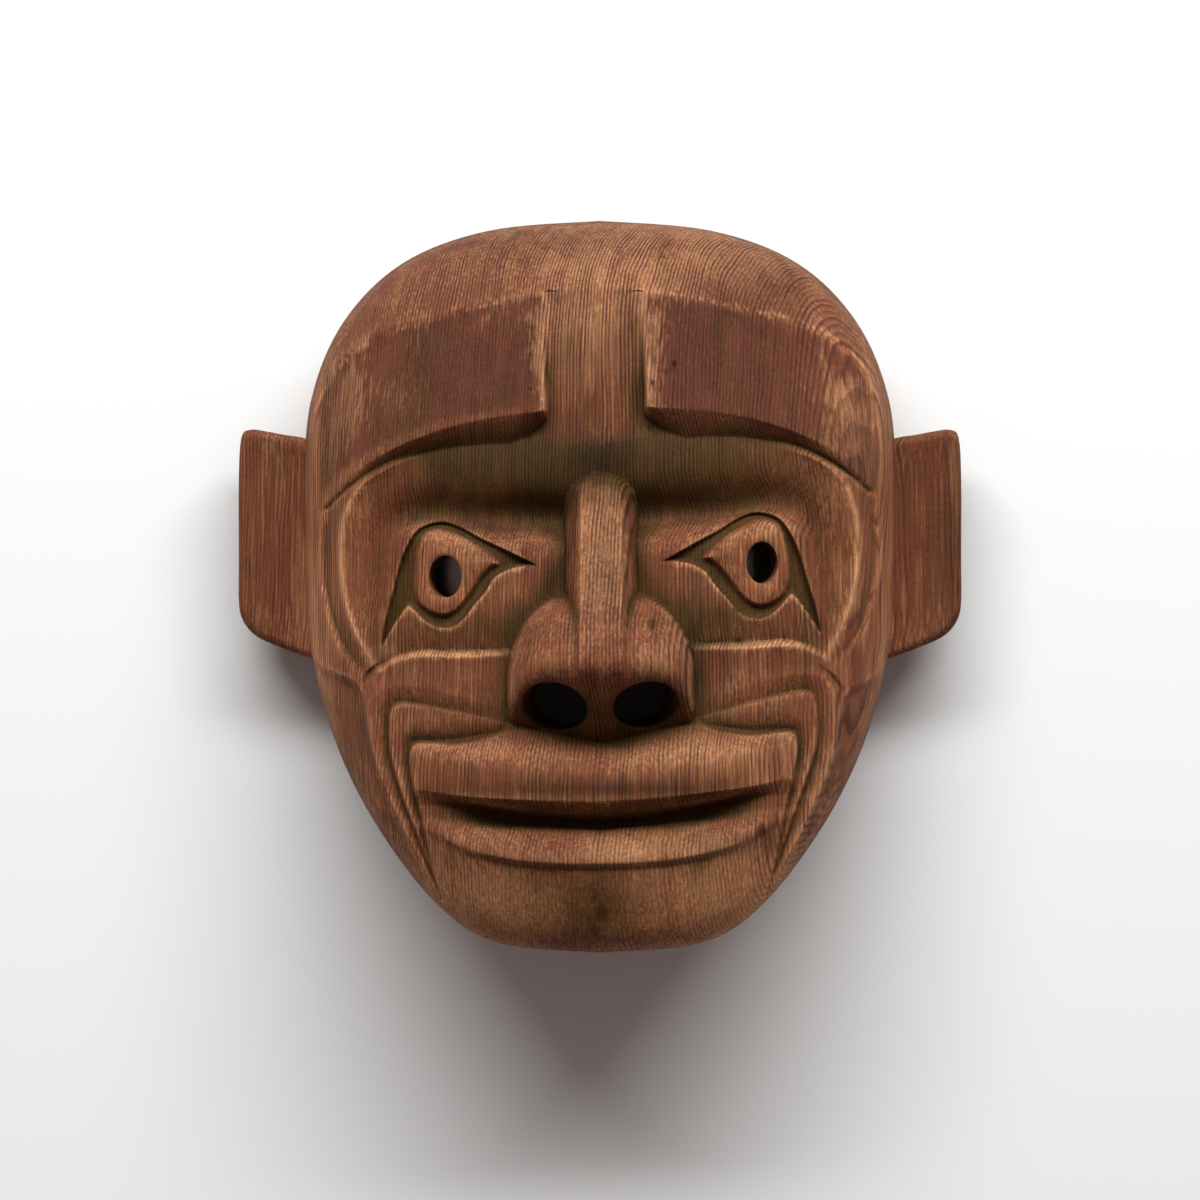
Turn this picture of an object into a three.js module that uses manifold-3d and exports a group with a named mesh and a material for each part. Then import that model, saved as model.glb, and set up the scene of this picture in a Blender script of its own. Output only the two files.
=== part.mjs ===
// Forest spirit mask: a face carved from one block of red cedar, hollowed at the back.
// It lies on its flat back rim, face up. X is the picture's right, Y runs from chin to crown, Z is up.
// Lengths are in millimetres. The origin is the middle of the box's underside.
//
// The face is a height over the back rim's plane, worked out at each point from a smooth dome and
// the cuts in it. A carved line is given on one half of the face, as [distance from the middle,
// height up the face], and both halves share it.

import * as THREE from 'three';
import { mergeVertices } from 'three/addons/utils/BufferGeometryUtils.js';
import { MeshoptSimplifier } from 'three/addons/libs/meshopt_simplifier.module.js';
import Module from 'manifold-3d';

// Block and dome. The face's lines lean over by a small slope, which fades out at crown and chin,
// and the carving was drawn about a point a little above the middle of the box.
const CROWN_HEIGHT = 106;
const ORIGIN_Y = 1.25;
const FACE_LEAN = 0.03;
const LEAN_FADE = { top: [[65, 1], [105, 0]], bottom: [[-125, 0], [-85, 1]] };
const FACE_MIDDLE = [[-115, 1.3], [-60, 1.4], [0, 0], [60, -1.4], [90, -2.1]];

// Half outline at the widest level, from the top of the crown to the chin
const OUTLINE = [
  [0, 139.5], [42.5, 135.8], [75.6, 123.5], [98.6, 101], [111.2, 71], [114, 36.5], [113.5, 2],
  [110.5, -27], [100.8, -60], [84.4, -90.5], [61, -119.5], [38, -133.5], [0, -137],
];

// Against the sine of the direction round the outline, from -1 at the chin to 1 at the crown:
// the widest level's height, the dome's roundness above it and the wall's taper below it
const WIDEST_LEVEL = [[-1, 80], [-0.8, 66], [-0.45, 42], [0, 30], [0.5, 32], [1, 38]];
const ROUNDNESS = [[-1, 4.6], [-0.8, 3.6], [-0.5, 2.5], [0, 2.1], [0.5, 2.2], [1, 2.4]];
const WALL_TAPER = [[-1, 13], [-0.8, 9], [-0.45, 4], [0, 3], [1, 4]];

// Hollow behind the face
const HOLLOW_HEIGHT = 78;
const RIM_WIDTH = 12;
const HOLLOW_ROUNDNESS = [[-1, 4], [-0.5, 3], [1, 2.8]];

// Depth that the face lies below the dome along its middle, against height up the face
const FACE_DEPTH = [
  [-140, 0], [-122, 0.5], [-100, 2], [-80, 4], [-58, 7], [-40, 9.5], [-20, 11.5], [5, 12.5], [25, 13],
  [45, 14], [62, 14.2], [80, 9.5], [92, 5.8], [100, 3.4], [107, 1.6], [112, 0.4], [120, 0],
];
const FACE_HALF_WIDTH = 99;
const FACE_FALL = 2.2;

// Brow plates
const BROW_TOP = [
  [17, 109.5], [37, 106], [59.5, 100.6], [75, 97], [86.5, 92.5], [96.5, 85.5], [102.5, 78], [107, 69],
];
const BROW_BOTTOM = [
  [18, 65.2], [37, 63.5], [52, 61], [63, 58], [74.5, 54], [86, 48.5], [96, 42], [107, 33],
];
const BROW_INNER_END = 17.3;
const BROW_OUTER_END = 108.5;
const BROW_INNER_SLOPE = 2;
const BROW_OUTER_FADE = 6;
const BROW_SET_BACK = [[30, 5.5], [95, 1]];
const BROW_WALL_WIDTH = [[17.3, 3], [25, 8.5], [33, 10.5], [55, 7.5], [75, 4.8]];
const BROW_LEAN = 1.2;
const CROWN_ARRIS = [[8, 0], [22, 1]];
const BROW_CHANNEL = {
  line: [[62, 53.9], [74.5, 49.7], [86, 44.2], [94.5, 38.6], [102.3, 32.2]],
  depth: [0, 0.5, 1.4, 2.2, 2.1],
  reach: { left: [4, 4], right: [1.2, 1.2] },
  bend: { left: 1, right: 1 },
};

// Eye sockets
const COVE = [
  [5, 24], [29.5, 24.3], [46, 25.3], [62, 28.3], [75.5, 25], [82, 16], [85, 2], [86, -13.5], [84, -26.5],
];
const COVE_DEPTH = [[0, 11], [20, 12], [40, 11], [60, 8.5], [80, 5], [90, 3]];
const COVE_FADE = [[-30, 0.1], [0, 0.6], [20, 1]];
const COVE_REACH_UP = [[0, 13], [40, 12.5], [70, 11], [90, 8]];
const COVE_REACH_DOWN = [[0, 8.5], [40, 8], [70, 5.5], [90, 4]];
const COVE_FALL = 1.4;
const COVE_SPAN = 32;
const EYE_PAD = { middle: [53, 1], reach: [29, 24], height: 3 };
const SOCKET_RIM = {
  line: [
    [64, 50], [76, 46.5], [86.5, 41], [93.2, 33], [96.4, 24], [97.2, 13], [96.4, 1], [94, -10],
    [89.5, -20.5], [84, -29],
  ],
  height: [0, 2.3, 2.5, 2.5, 2.5, 2.4, 2.2, 0],
  reach: { left: 2.2, right: 4 },
  span: 20,
};
const CHEEK_STEP = {
  line: [[82.5, -29], [75.5, -25], [67, -23.5], [56, -24], [46.5, -24], [34, -24]],
  height: [0.1, 1.4, 1.6, 1.6, 1.6, 1.2],
  rise: 1.3,
  reach: { left: 9, right: 7 },
  span: 25,
};

// Temple and jaw
const JAW_EDGE = {
  line: [
    [113, -27], [104, -31.5], [97.7, -34], [92.9, -36.3], [89.8, -41], [88.2, -48], [86.6, -59],
    [83.4, -70.3], [78.8, -80.7], [73.4, -92.1], [66.7, -104.1], [60.1, -117.9],
  ],
  depth: [1.5, 2, 1.9, 1.8, 1.7, 1.6, 1.1, 0.3],
  rise: 3.2,
  start: 0.15,
  reach: 12,
  span: 45,
};

const JAW_RIDGE = {
  line: JAW_EDGE.line,
  height: [0, 0.9, 1.1, 1.2, 1.2, 1.1, 0.9, 0.3],
  reach: { left: 1.6, right: 2.2 },
  span: 12,
};

// On the right the jaw's edge lies this much lower, easing in below the eye and out at the chin
const JAW_DROP = 3;
const JAW_DROP_FADE = { top: [[-40, 1], [-20, 0]], bottom: [[-70, 0], [-40, 1]] };

// Eyes
const EYE_OPENING = [
  [23.5, 8], [33.5, 13.5], [44, 19], [53, 24], [59.5, 25.5], [66.5, 23.5], [70.5, 19], [74.5, 10.5],
  [77.5, 0], [80.5, -10.5], [82, -20.5], [77.5, -13.5], [73.5, -8], [71.5, -6], [69.5, -7.5],
  [65.5, -11.5], [60.5, -14.3], [54.5, -14], [50, -10.5], [46.5, -6], [42.5, -1.5], [39, 3.5],
  [33.5, 6.5], [28, 7.5],
];
const EYE_DEPTH = 3.2;
const LID_WIDTH = 1.6;
const EYEBALL = [
  [37, 9.2], [45, 16.2], [53.5, 21.2], [59.5, 23.2], [65, 21.4], [68.2, 16.2], [69.6, 8], [69.6, 0],
  [68, -5.5], [64, -9], [59, -10.6], [54.5, -9.6], [50.5, -6.2], [46.8, -1.5], [43.5, 3.2], [40, 6.8],
];
const RIGHT_EYEBALL_SHIFT = 1.4;
const EYEBALL_EDGE = { height: 1.6, width: 1.7 };
const EYEBALL_DOME = { height: 2.6, reach: 5.5 };

// Cut lines: each is deepest on the line, with its own reach to either side of it.
// The lists of depth and reach are spread evenly along the line.
const TEMPLE_GROOVE = {
  line: [[101, 33], [103.4, 17], [103, 2], [100, -11.5], [96, -21], [89, -30]],
  depth: [0.6, 2.2, 2.6, 2.3, 0.5],
  reach: { left: [2.6, 2.6], right: [4, 5, 5, 5, 4] },
  bend: { left: 1, right: 1.3 },
};
const TEMPLE_NOTCH = {
  line: [[82.2, -29.3], [87.1, -33], [89.4, -36.7], [90.2, -41.5]],
  depth: [0.6, 1.6, 1.4, 0.3],
  reach: { left: [1.2, 1.2], right: [2.6, 2.6] },
  bend: { left: 1, right: 1 },
};
const OUTER_FOLD = {
  line: [
    [34.7, -50.1], [44.3, -47.6], [51.8, -45.6], [59.2, -44], [66.8, -42.3], [74.3, -41.2],
    [78.6, -42.5], [80.5, -46], [80.8, -51], [80.7, -57.3], [79.5, -64.7], [77.2, -72.1],
    [74.1, -80.6], [70.4, -90.5], [65.2, -104], [60, -116.7],
  ],
  depth: [0.4, 1.2, 1.8, 2.2, 2.8, 3.2, 3.2, 3, 2.8, 2.2, 0.8],
  reach: {
    left: [3, 5, 6, 6, 6, 5.6, 5.4, 4.8, 4, 3, 1.5],
    right: [0.9, 1, 1.2, 1.6, 1.6, 1.6, 1.6, 1.5, 1.4, 1.2, 0.8],
  },
  bend: { left: 1.1, right: 1 },
};
const INNER_FOLD = {
  line: [
    [34.7, -50.5], [40.6, -54], [48, -55.6], [55.4, -56.6], [62.9, -56], [68.5, -55.8],
    [71.8, -57.5], [73, -61.5], [72.6, -66.6], [71.1, -74], [68.8, -83.2], [66.2, -94.8],
    [62.9, -108], [60, -116.7],
  ],
  depth: [0.4, 1.8, 3, 3.2, 3, 2.8, 2.6, 2.2, 1.8, 0.6],
  reach: {
    left: [3, 5.5, 8, 7.5, 4.4, 4.4, 4, 3, 2.2, 1.2],
    right: [1, 1.2, 1.5, 1.5, 1.5, 1.5, 1.5, 1.4, 1.2, 0.8],
  },
  bend: { left: 1.5, right: 1 },
};

// Nose
const BRIDGE_HEIGHT = [
  [-64, 92], [-60, 99], [-57, 104], [-50, 115.5], [-44, 125], [-40, 129.5], [-36, 131],
  [-30, 130.5], [-10, 122], [10, 113.5], [30, 105], [35, 102.5], [38.5, 99], [40.5, 95], [42, 85],
];
const BRIDGE_HALF_WIDTH = [
  [-64, 7], [-40, 7.8], [-10, 7.6], [20, 7.6], [34, 7.4], [38, 6.2], [40.5, 4], [42, 3],
];
const BRIDGE_MIDDLE = 0.4;
const BRIDGE_TOP = 43;
const BRIDGE_CROWN = 0.8;
const BRIDGE_SIDE = { slope: 3, width: 5.4, footSlope: 8 };
const LOBES = {
  flat: 8, reach: 28, middle: -38, up: 36, down: 42, base: 88, height: 39, roundness: 2.15, blend: 4,
};
const NOSE_UNDERSIDE = { height: 102.6, slope: 1.12, edge: -56, sweep: 0.25, blend: 7 };

// Lips: lines across the mouth, each with its height over the dome's cut in the middle and at the corners
const LIP_TOP = [
  [0, -58.6], [7.5, -57.4], [16.5, -55], [25.5, -53.2], [33, -52.8], [44, -54.5], [55, -56.3],
  [64, -56.5], [74, -57],
];
const LIP_CREST = [[0, -70.5], [14.5, -70.5], [29.5, -69], [44, -66.5], [58.5, -63.5], [74, -61]];
const LIP_EDGE = [[0, -79.5], [18.5, -78.8], [36.5, -77.5], [52, -76.3], [64, -74.5], [74, -73]];
const MOUTH = [[0, -87.2], [14.5, -86.4], [29.5, -84.8], [44, -82.3], [58.5, -80], [74, -79]];
const LOWER_LIP_TOP = [[0, -89.2], [29.5, -87.4], [51.5, -85], [74, -84]];
const LOWER_LIP_CREST = [
  [0, -101.8], [14.5, -101.5], [29.5, -100.2], [44, -97.4], [52, -95], [61, -90.4], [74, -85.5],
];

// How the lips' relief changes from the middle of the mouth to its corners, and where the slit and
// the lips end
const LIP_CORNER = [[40, 0], [66, 1]];
const SLIT_END = [[44, 1], [68, 0]];
const LIP_END = [[69, 1], [74, 0]];

// Holes cut right through: ellipses, shifted sideways on their way to the back
const PUPILS = [
  { front: [-59, 3, 104], back: [-53, 3, 48], radii: [6.3, 7.8] },
  { front: [61.8, 8.2, 104], back: [55.8, 8.2, 48], radii: [6.1, 7.8] },
];
const NOSTRILS = [
  { front: [-20.4, -46.8, 136], back: [-10, -41, 62], radii: [12.4, 9.8] },
  { front: [20.4, -46.2, 136], back: [10, -40, 62], radii: [12.4, 9.4] },
];
const HOLE_SIDES = 24;

// Ears: a half-round edged plate, its inner end buried in the side of the head
const EAR_OUTLINE = [
  [104, 54], [115, 57], [121.5, 58], [129.5, 59.5], [135, 60], [138.5, 57], [139.5, 40.5],
  [139.5, 9.5], [139.5, -6], [138, -13.5], [133, -19.5], [123.5, -24], [111, -28.5], [104, -29],
];
const EAR_MIDDLE = [120, 17];
const EAR_ROOT = [[104, 0], [110, 1]];
const EAR_PROFILE = [[7, 31], [3.5, 33], [1, 32], [0, 29], [0, 20], [1.2, 16], [4, 14.5], [7, 14.5]];

// Fineness of the surface: steps along each side of the head's grid, the share of them that covers
// the dome, and the triangles kept; then the hollow's sides and layers
const GRID_STEPS = 320;
const DOME_SHARE = 0.76;
const HEAD_FACETS = 7200;
const HOLLOW_SIDES = 52;
const HOLLOW_LAYERS = 8;
const HOLLOW_TOP_SHARE = 0.08;
const CURVE_STEPS = 8;

const clamp = (t) => Math.min(Math.max(t, 0), 1);

const ease = (t) => clamp(t) ** 2 * (3 - 2 * clamp(t));

const mix = (a, b, t) => a + (b - a) * t;

// Value at t of a table of [position, value] rows, with straight runs between them
function lookUp(table, t) {
  let i = 1;
  while (i < table.length - 1 && table[i][0] < t) i += 1;
  const [t0, a] = table[i - 1];
  const [t1, b] = table[i];
  return mix(a, b, clamp((t - t0) / (t1 - t0)));
}

// The same between just two rows, easing out of the first value and into the second
function easeBetween([[t0, a], [t1, b]], t) {
  return mix(a, b, ease((t - t0) / (t1 - t0)));
}

// Value at share s of a list spread evenly from 0 to 1
function spread(list, s) {
  const at = clamp(s) * (list.length - 1);
  const i = Math.min(Math.floor(at), list.length - 2);
  return mix(list[i], list[i + 1], at - i);
}

// Smooth curve through the points, as a list of [x, y]
function smoothLine(points, closed = false) {
  const turn = closed ? [points.at(-1), ...points, points[0], points[1]] : points;
  const curve = new THREE.SplineCurve(turn.map(([x, y]) => new THREE.Vector2(x, y)));
  const line = curve.getPoints((turn.length - 1) * CURVE_STEPS).map((p) => [p.x, p.y]);
  return closed ? line.slice(CURVE_STEPS, -2 * CURVE_STEPS) : line;
}

// Nearest point of a line: its distance, the hand it lies on when looking along the line, and the
// share of the line's length up to it
function nearest(line, x, y) {
  let best = { distance: Infinity, hand: 'right', along: 0 };
  let length = 0;
  for (let i = 1; i < line.length; i += 1) {
    const [x0, y0] = line[i - 1];
    const dx = line[i][0] - x0;
    const dy = line[i][1] - y0;
    const run = Math.hypot(dx, dy);
    const t = clamp(((x - x0) * dx + (y - y0) * dy) / (run * run));
    const distance = Math.hypot(x - x0 - t * dx, y - y0 - t * dy);
    if (distance < best.distance) {
      const hand = (x - x0) * dy >= (y - y0) * dx ? 'right' : 'left';
      best = { distance, hand, along: length + t * run };
    }
    length += run;
  }
  return { ...best, along: best.along / length };
}

// Distance inside a closed line, negative outside
function depthInside(line, x, y) {
  let inside = false;
  for (let i = 0, j = line.length - 1; i < line.length; j = i, i += 1) {
    const [x0, y0] = line[i];
    const [x1, y1] = line[j];
    if ((y0 > y) !== (y1 > y) && x < ((x1 - x0) * (y - y0)) / (y1 - y0) + x0) inside = !inside;
  }
  const { distance } = nearest([...line, line[0]], x, y);
  return inside ? distance : -distance;
}

// Whether a point is within reach of a line's box
function isNear(line, x, y, reach) {
  line.box ??= {
    x0: Math.min(...line.map((p) => p[0])),
    x1: Math.max(...line.map((p) => p[0])),
    y0: Math.min(...line.map((p) => p[1])),
    y1: Math.max(...line.map((p) => p[1])),
  };
  const { x0, x1, y0, y1 } = line.box;
  return x > x0 - reach && x < x1 + reach && y > y0 - reach && y < y1 + reach;
}

// The measured points become smooth lines and tables
const widestLevel = smoothLine(WIDEST_LEVEL);
const roundness = smoothLine(ROUNDNESS);
const wallTaper = smoothLine(WALL_TAPER);
const hollowRoundness = smoothLine(HOLLOW_ROUNDNESS);
const faceDepth = smoothLine(FACE_DEPTH);
const browTop = smoothLine(BROW_TOP);
const browBottom = smoothLine(BROW_BOTTOM);
const cove = smoothLine(COVE);
const eyeOpening = smoothLine(EYE_OPENING, true);
const eyeball = smoothLine(EYEBALL, true);
const bridgeHeight = smoothLine(BRIDGE_HEIGHT);
const bridgeHalfWidth = smoothLine(BRIDGE_HALF_WIDTH);
const lipTop = smoothLine(LIP_TOP);
const lipCrest = smoothLine(LIP_CREST);
const lipEdge = smoothLine(LIP_EDGE);
const mouth = smoothLine(MOUTH);
const lowerLipTop = smoothLine(LOWER_LIP_TOP);
const lowerLipCrest = smoothLine(LOWER_LIP_CREST);
for (const cut of [
  BROW_CHANNEL, SOCKET_RIM, CHEEK_STEP, JAW_EDGE, JAW_RIDGE, TEMPLE_GROOVE, TEMPLE_NOTCH, OUTER_FOLD,
  INNER_FOLD,
]) {
  cut.curve = smoothLine(cut.line);
}

// Outline: the point at a share of the way round, from the right side over the crown
const halfOutline = new THREE.SplineCurve(OUTLINE.map(([x, y]) => new THREE.Vector2(x, y)))
  .getSpacedPoints(256);

function outlinePoint(share) {
  const turn = (((share + 0.25) % 1) + 1) % 1;
  const onRight = turn <= 0.5;
  const at = (onRight ? 0.5 - turn : turn - 0.5) * 2 * (halfOutline.length - 1);
  const i = Math.min(Math.floor(at), halfOutline.length - 2);
  const x = mix(halfOutline[i].x, halfOutline[i + 1].x, at - i);
  const y = mix(halfOutline[i].y, halfOutline[i + 1].y, at - i);
  return [onRight ? x : -x, y];
}

// Outline's radius against direction, from straight up (0) to straight down (PI)
const outlineRadius = halfOutline.map((p) => [Math.atan2(p.x, p.y), p.length()]);

// Uncut dome at a share of the way from the middle to the outline, in a direction given by its sine
function domeHeight(share, sine) {
  const edge = lookUp(widestLevel, sine);
  const power = lookUp(roundness, sine);
  return edge + (CROWN_HEIGHT - edge) * Math.max(1 - share ** power, 0) ** (1 / power);
}

function domeAt(x, y) {
  const radius = Math.hypot(x, y);
  const edge = lookUp(outlineRadius, Math.atan2(Math.abs(x), y));
  return domeHeight(Math.min(radius / edge, 1), radius > 0 ? y / radius : 0);
}

// Depth of a cut line at a point
function cutDepth(cut, out, up) {
  const reach = Math.max(...cut.reach.left, ...cut.reach.right);
  if (!isNear(cut.curve, out, up, reach)) return 0;
  const { distance, hand, along } = nearest(cut.curve, out, up);
  const near = Math.max(1 - distance / spread(cut.reach[hand], along), 0);
  return spread(cut.depth, along) * near ** cut.bend[hand];
}

// Cove under the brow and down the outer side of the eye
function coveDepth(out, up) {
  if (!isNear(cove, out, up, COVE_SPAN)) return 0;
  const { distance, hand } = nearest(cove, out, up);
  const reach = lookUp(hand === 'right' ? COVE_REACH_DOWN : COVE_REACH_UP, out);
  const depth = lookUp(COVE_DEPTH, out) * lookUp(COVE_FADE, up);
  return depth * Math.exp(-COVE_FALL * (distance / reach) ** 2);
}

// Raised pad that carries the eye
function eyePad(out, up) {
  const across = (out - EYE_PAD.middle[0]) / EYE_PAD.reach[0];
  const along = (up - EYE_PAD.middle[1]) / EYE_PAD.reach[1];
  return EYE_PAD.height * Math.exp(-(across ** 4) - along ** 4);
}

// Crest along a line, falling away on both sides
function crestHeight(crest, out, up) {
  if (!isNear(crest.curve, out, up, crest.span)) return 0;
  const { distance, hand, along } = nearest(crest.curve, out, up);
  return spread(crest.height, along) * Math.exp(-distance / crest.reach[hand]);
}

// Jaw's side, set back behind the temple and the cheek
function jawDepth(out, up) {
  if (!isNear(JAW_EDGE.curve, out, up, JAW_EDGE.span)) return 0;
  const { distance, hand, along } = nearest(JAW_EDGE.curve, out, up);
  const behind = (hand === 'left' ? distance : -distance) / JAW_EDGE.rise;
  const beyond = Math.max(distance - JAW_EDGE.rise, 0) / JAW_EDGE.reach;
  return spread(JAW_EDGE.depth, along) * clamp(behind + JAW_EDGE.start) * Math.exp(-beyond);
}

// Step across the cheek: proud below the line, set back above it
function cheekStep(out, up) {
  if (!isNear(CHEEK_STEP.curve, out, up, CHEEK_STEP.span)) return 0;
  const { distance, hand, along } = nearest(CHEEK_STEP.curve, out, up);
  const step = Math.min(distance / CHEEK_STEP.rise, 1) * (hand === 'left' ? 1 : -1);
  const beyond = Math.max(distance - CHEEK_STEP.rise, 0) / CHEEK_STEP.reach[hand];
  return spread(CHEEK_STEP.height, along) * step * Math.exp(-beyond);
}

// Sunk eye opening with the eyeball standing in it
function eyeRelief(out, up, shift) {
  if (!isNear(eyeOpening, out, up, 1)) return 0;
  const sunk = EYE_DEPTH * clamp(depthInside(eyeOpening, out, up) / LID_WIDTH);
  const inBall = depthInside(eyeball, out - shift, up);
  if (inBall <= 0) return -sunk;
  const edge = EYEBALL_EDGE.height * clamp(inBall / EYEBALL_EDGE.width);
  const dome = EYEBALL_DOME.height * (1 - Math.exp(-inBall / EYEBALL_DOME.reach));
  return edge + dome - sunk;
}

// Lips: easing and heights between the lines from the upper lip's top edge down to the chin
const straight = (t) => t;
const rounded = (t) => Math.sin((t * Math.PI) / 2) ** 1.15;
const LIP_PROFILE = [
  { line: lipTop, shift: 0.6, middle: 0, corner: 0, into: straight },
  { line: lipTop, shift: -0.8, middle: 1.6, corner: 1.2, into: straight },
  { line: lipCrest, shift: 0, middle: 9.6, corner: 2.6, into: rounded },
  { line: lipEdge, shift: 0, middle: 9.2, corner: 2.6, into: ease },
  { line: mouth, shift: 2.8, middle: 4.8, corner: 1.2, into: straight },
  { line: mouth, shift: 0, middle: -5.5, corner: -2, into: straight },
  { line: lowerLipTop, shift: 0, middle: -3, corner: -1.5, into: straight },
  { line: lowerLipCrest, shift: 0, middle: 9.2, corner: 1, into: rounded },
  { line: lowerLipCrest, shift: -3.4, middle: 6.8, corner: 0.4, into: ease },
  { line: lowerLipCrest, shift: -32, middle: 0, corner: 0, into: straight },
];

function lipHeight(row, out) {
  const height = mix(row.middle, row.corner, easeBetween(LIP_CORNER, out));
  return height < 0 ? height * easeBetween(SLIT_END, out) : height;
}

function lipRelief(out, up) {
  const levels = LIP_PROFILE.map((row) => lookUp(row.line, out) + row.shift);
  const i = levels.findIndex((level) => up > level);
  if (i < 1) return 0;
  const t = LIP_PROFILE[i].into((levels[i - 1] - up) / (levels[i - 1] - levels[i]));
  const height = mix(lipHeight(LIP_PROFILE[i - 1], out), lipHeight(LIP_PROFILE[i], out), t);
  return height * easeBetween(LIP_END, out);
}

// Brow plates: flats cut from the crown's arris down to a wall over the socket
function withBrow(height, dome, out, x, y, lean) {
  const top = lookUp(browTop, out);
  if (y >= top) return mix(height, dome, easeBetween(CROWN_ARRIS, out));
  const bottom = lookUp(browBottom, out) + BROW_LEAN * lean * x;
  const foot = domeAt(x, bottom) - easeBetween(BROW_SET_BACK, out);
  const plate = mix(domeAt(x, top), foot, (top - y) / (top - bottom));
  const wallWidth = lookUp(BROW_WALL_WIDTH, out);
  const wall = clamp((y - bottom + wallWidth) / wallWidth);
  const innerEnd = clamp((out - BROW_INNER_END) / BROW_INNER_SLOPE);
  const ends = innerEnd * ease((BROW_OUTER_END - out) / BROW_OUTER_FADE);
  return mix(height, plate, wall * ends);
}

// Larger or smaller of two heights, rounded where they meet
function blend(a, b, width, sign) {
  const t = clamp(0.5 + (sign * (a - b)) / (2 * width));
  return mix(b, a, t) + sign * width * t * (1 - t);
}

// Nose: a flat-topped bridge, two lobes beside it and a slanting underside
function noseHeight(x, y) {
  if (y > BRIDGE_TOP) return 0;
  const out = Math.abs(x - BRIDGE_MIDDLE);
  const half = lookUp(bridgeHalfWidth, y);
  const beyond = Math.max(out - half, 0);
  const past = Math.max(beyond - BRIDGE_SIDE.width, 0);
  const crown = BRIDGE_CROWN * Math.min(out / half, 1) ** 2;
  const side = BRIDGE_SIDE.slope * (beyond - past) + BRIDGE_SIDE.footSlope * past;
  const bridge = lookUp(bridgeHeight, y) - crown - side;
  const across = Math.max(out - LOBES.flat, 0) / LOBES.reach;
  const along = Math.abs(y - LOBES.middle) / (y > LOBES.middle ? LOBES.up : LOBES.down);
  const t = across ** LOBES.roundness + along ** LOBES.roundness;
  const lobe = t < 1 ? LOBES.base + LOBES.height * (1 - t) ** (1 / LOBES.roundness) : 0;
  const under = NOSE_UNDERSIDE.height
    + NOSE_UNDERSIDE.slope * (y - NOSE_UNDERSIDE.edge - NOSE_UNDERSIDE.sweep * out);
  return blend(blend(bridge, lobe, LOBES.blend, 1), under, NOSE_UNDERSIDE.blend, -1);
}

// Height of the carved face at a point, given the uncut dome's height there
function faceHeight(x, y, dome) {
  const out = Math.abs(x - lookUp(FACE_MIDDLE, y));
  const lean = FACE_LEAN * easeBetween(LEAN_FADE.top, y) * easeBetween(LEAN_FADE.bottom, y);
  const up = y - lean * x;
  const drop = JAW_DROP * easeBetween(JAW_DROP_FADE.top, y) * easeBetween(JAW_DROP_FADE.bottom, y);
  const jawUp = x > 0 ? y + drop : y;
  const sunk = lookUp(faceDepth, up) * clamp(1 - (out / FACE_HALF_WIDTH) ** FACE_FALL);
  const eyeballShift = x > 0 ? RIGHT_EYEBALL_SHIFT : 0;
  const raised = eyePad(out, up) + crestHeight(SOCKET_RIM, out, up) + crestHeight(JAW_RIDGE, out, jawUp)
    + cheekStep(out, up) + eyeRelief(out, up, eyeballShift) + lipRelief(out, up);
  const cuts = coveDepth(out, up) + jawDepth(out, jawUp) + cutDepth(TEMPLE_NOTCH, out, jawUp)
    + cutDepth(BROW_CHANNEL, out, up) + cutDepth(TEMPLE_GROOVE, out, up)
    + cutDepth(OUTER_FOLD, out, up) + cutDepth(INNER_FOLD, out, up);
  return Math.max(withBrow(dome - sunk - cuts + raised, dome, out, x, y, lean), noseHeight(x, y));
}

// Point of the head's surface over the square from -1 to 1 in a and b. Square rings of it become rings
// of the outline: the inner ones cover the dome, the outer ones the wall down to the back rim.
function headPoint(a, b) {
  const ring = Math.max(Math.abs(a), Math.abs(b));
  if (ring === 0) return [0, 0, faceHeight(0, 0, CROWN_HEIGHT)];
  let share = b / ring / 8;
  if (Math.abs(b) > Math.abs(a)) share = b > 0 ? 0.25 - a / ring / 8 : 0.75 + a / ring / 8;
  else if (a < 0) share = 0.5 - b / ring / 8;
  const [edgeX, edgeY] = outlinePoint(share);
  const radius = Math.hypot(edgeX, edgeY);
  const sine = edgeY / radius;
  const reach = Math.min(ring / DOME_SHARE, 1);
  const part = 1.25 * reach - 0.25 * reach ** 5;
  const height = faceHeight(edgeX * part, edgeY * part, domeHeight(part, sine));
  if (ring <= DOME_SHARE) return [edgeX * part, edgeY * part, height];
  const down = (ring - DOME_SHARE) / (1 - DOME_SHARE);
  const inset = 1 - (lookUp(wallTaper, sine) * down ** 2) / radius;
  return [edgeX * inset, edgeY * inset, height * (1 - down)];
}

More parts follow.
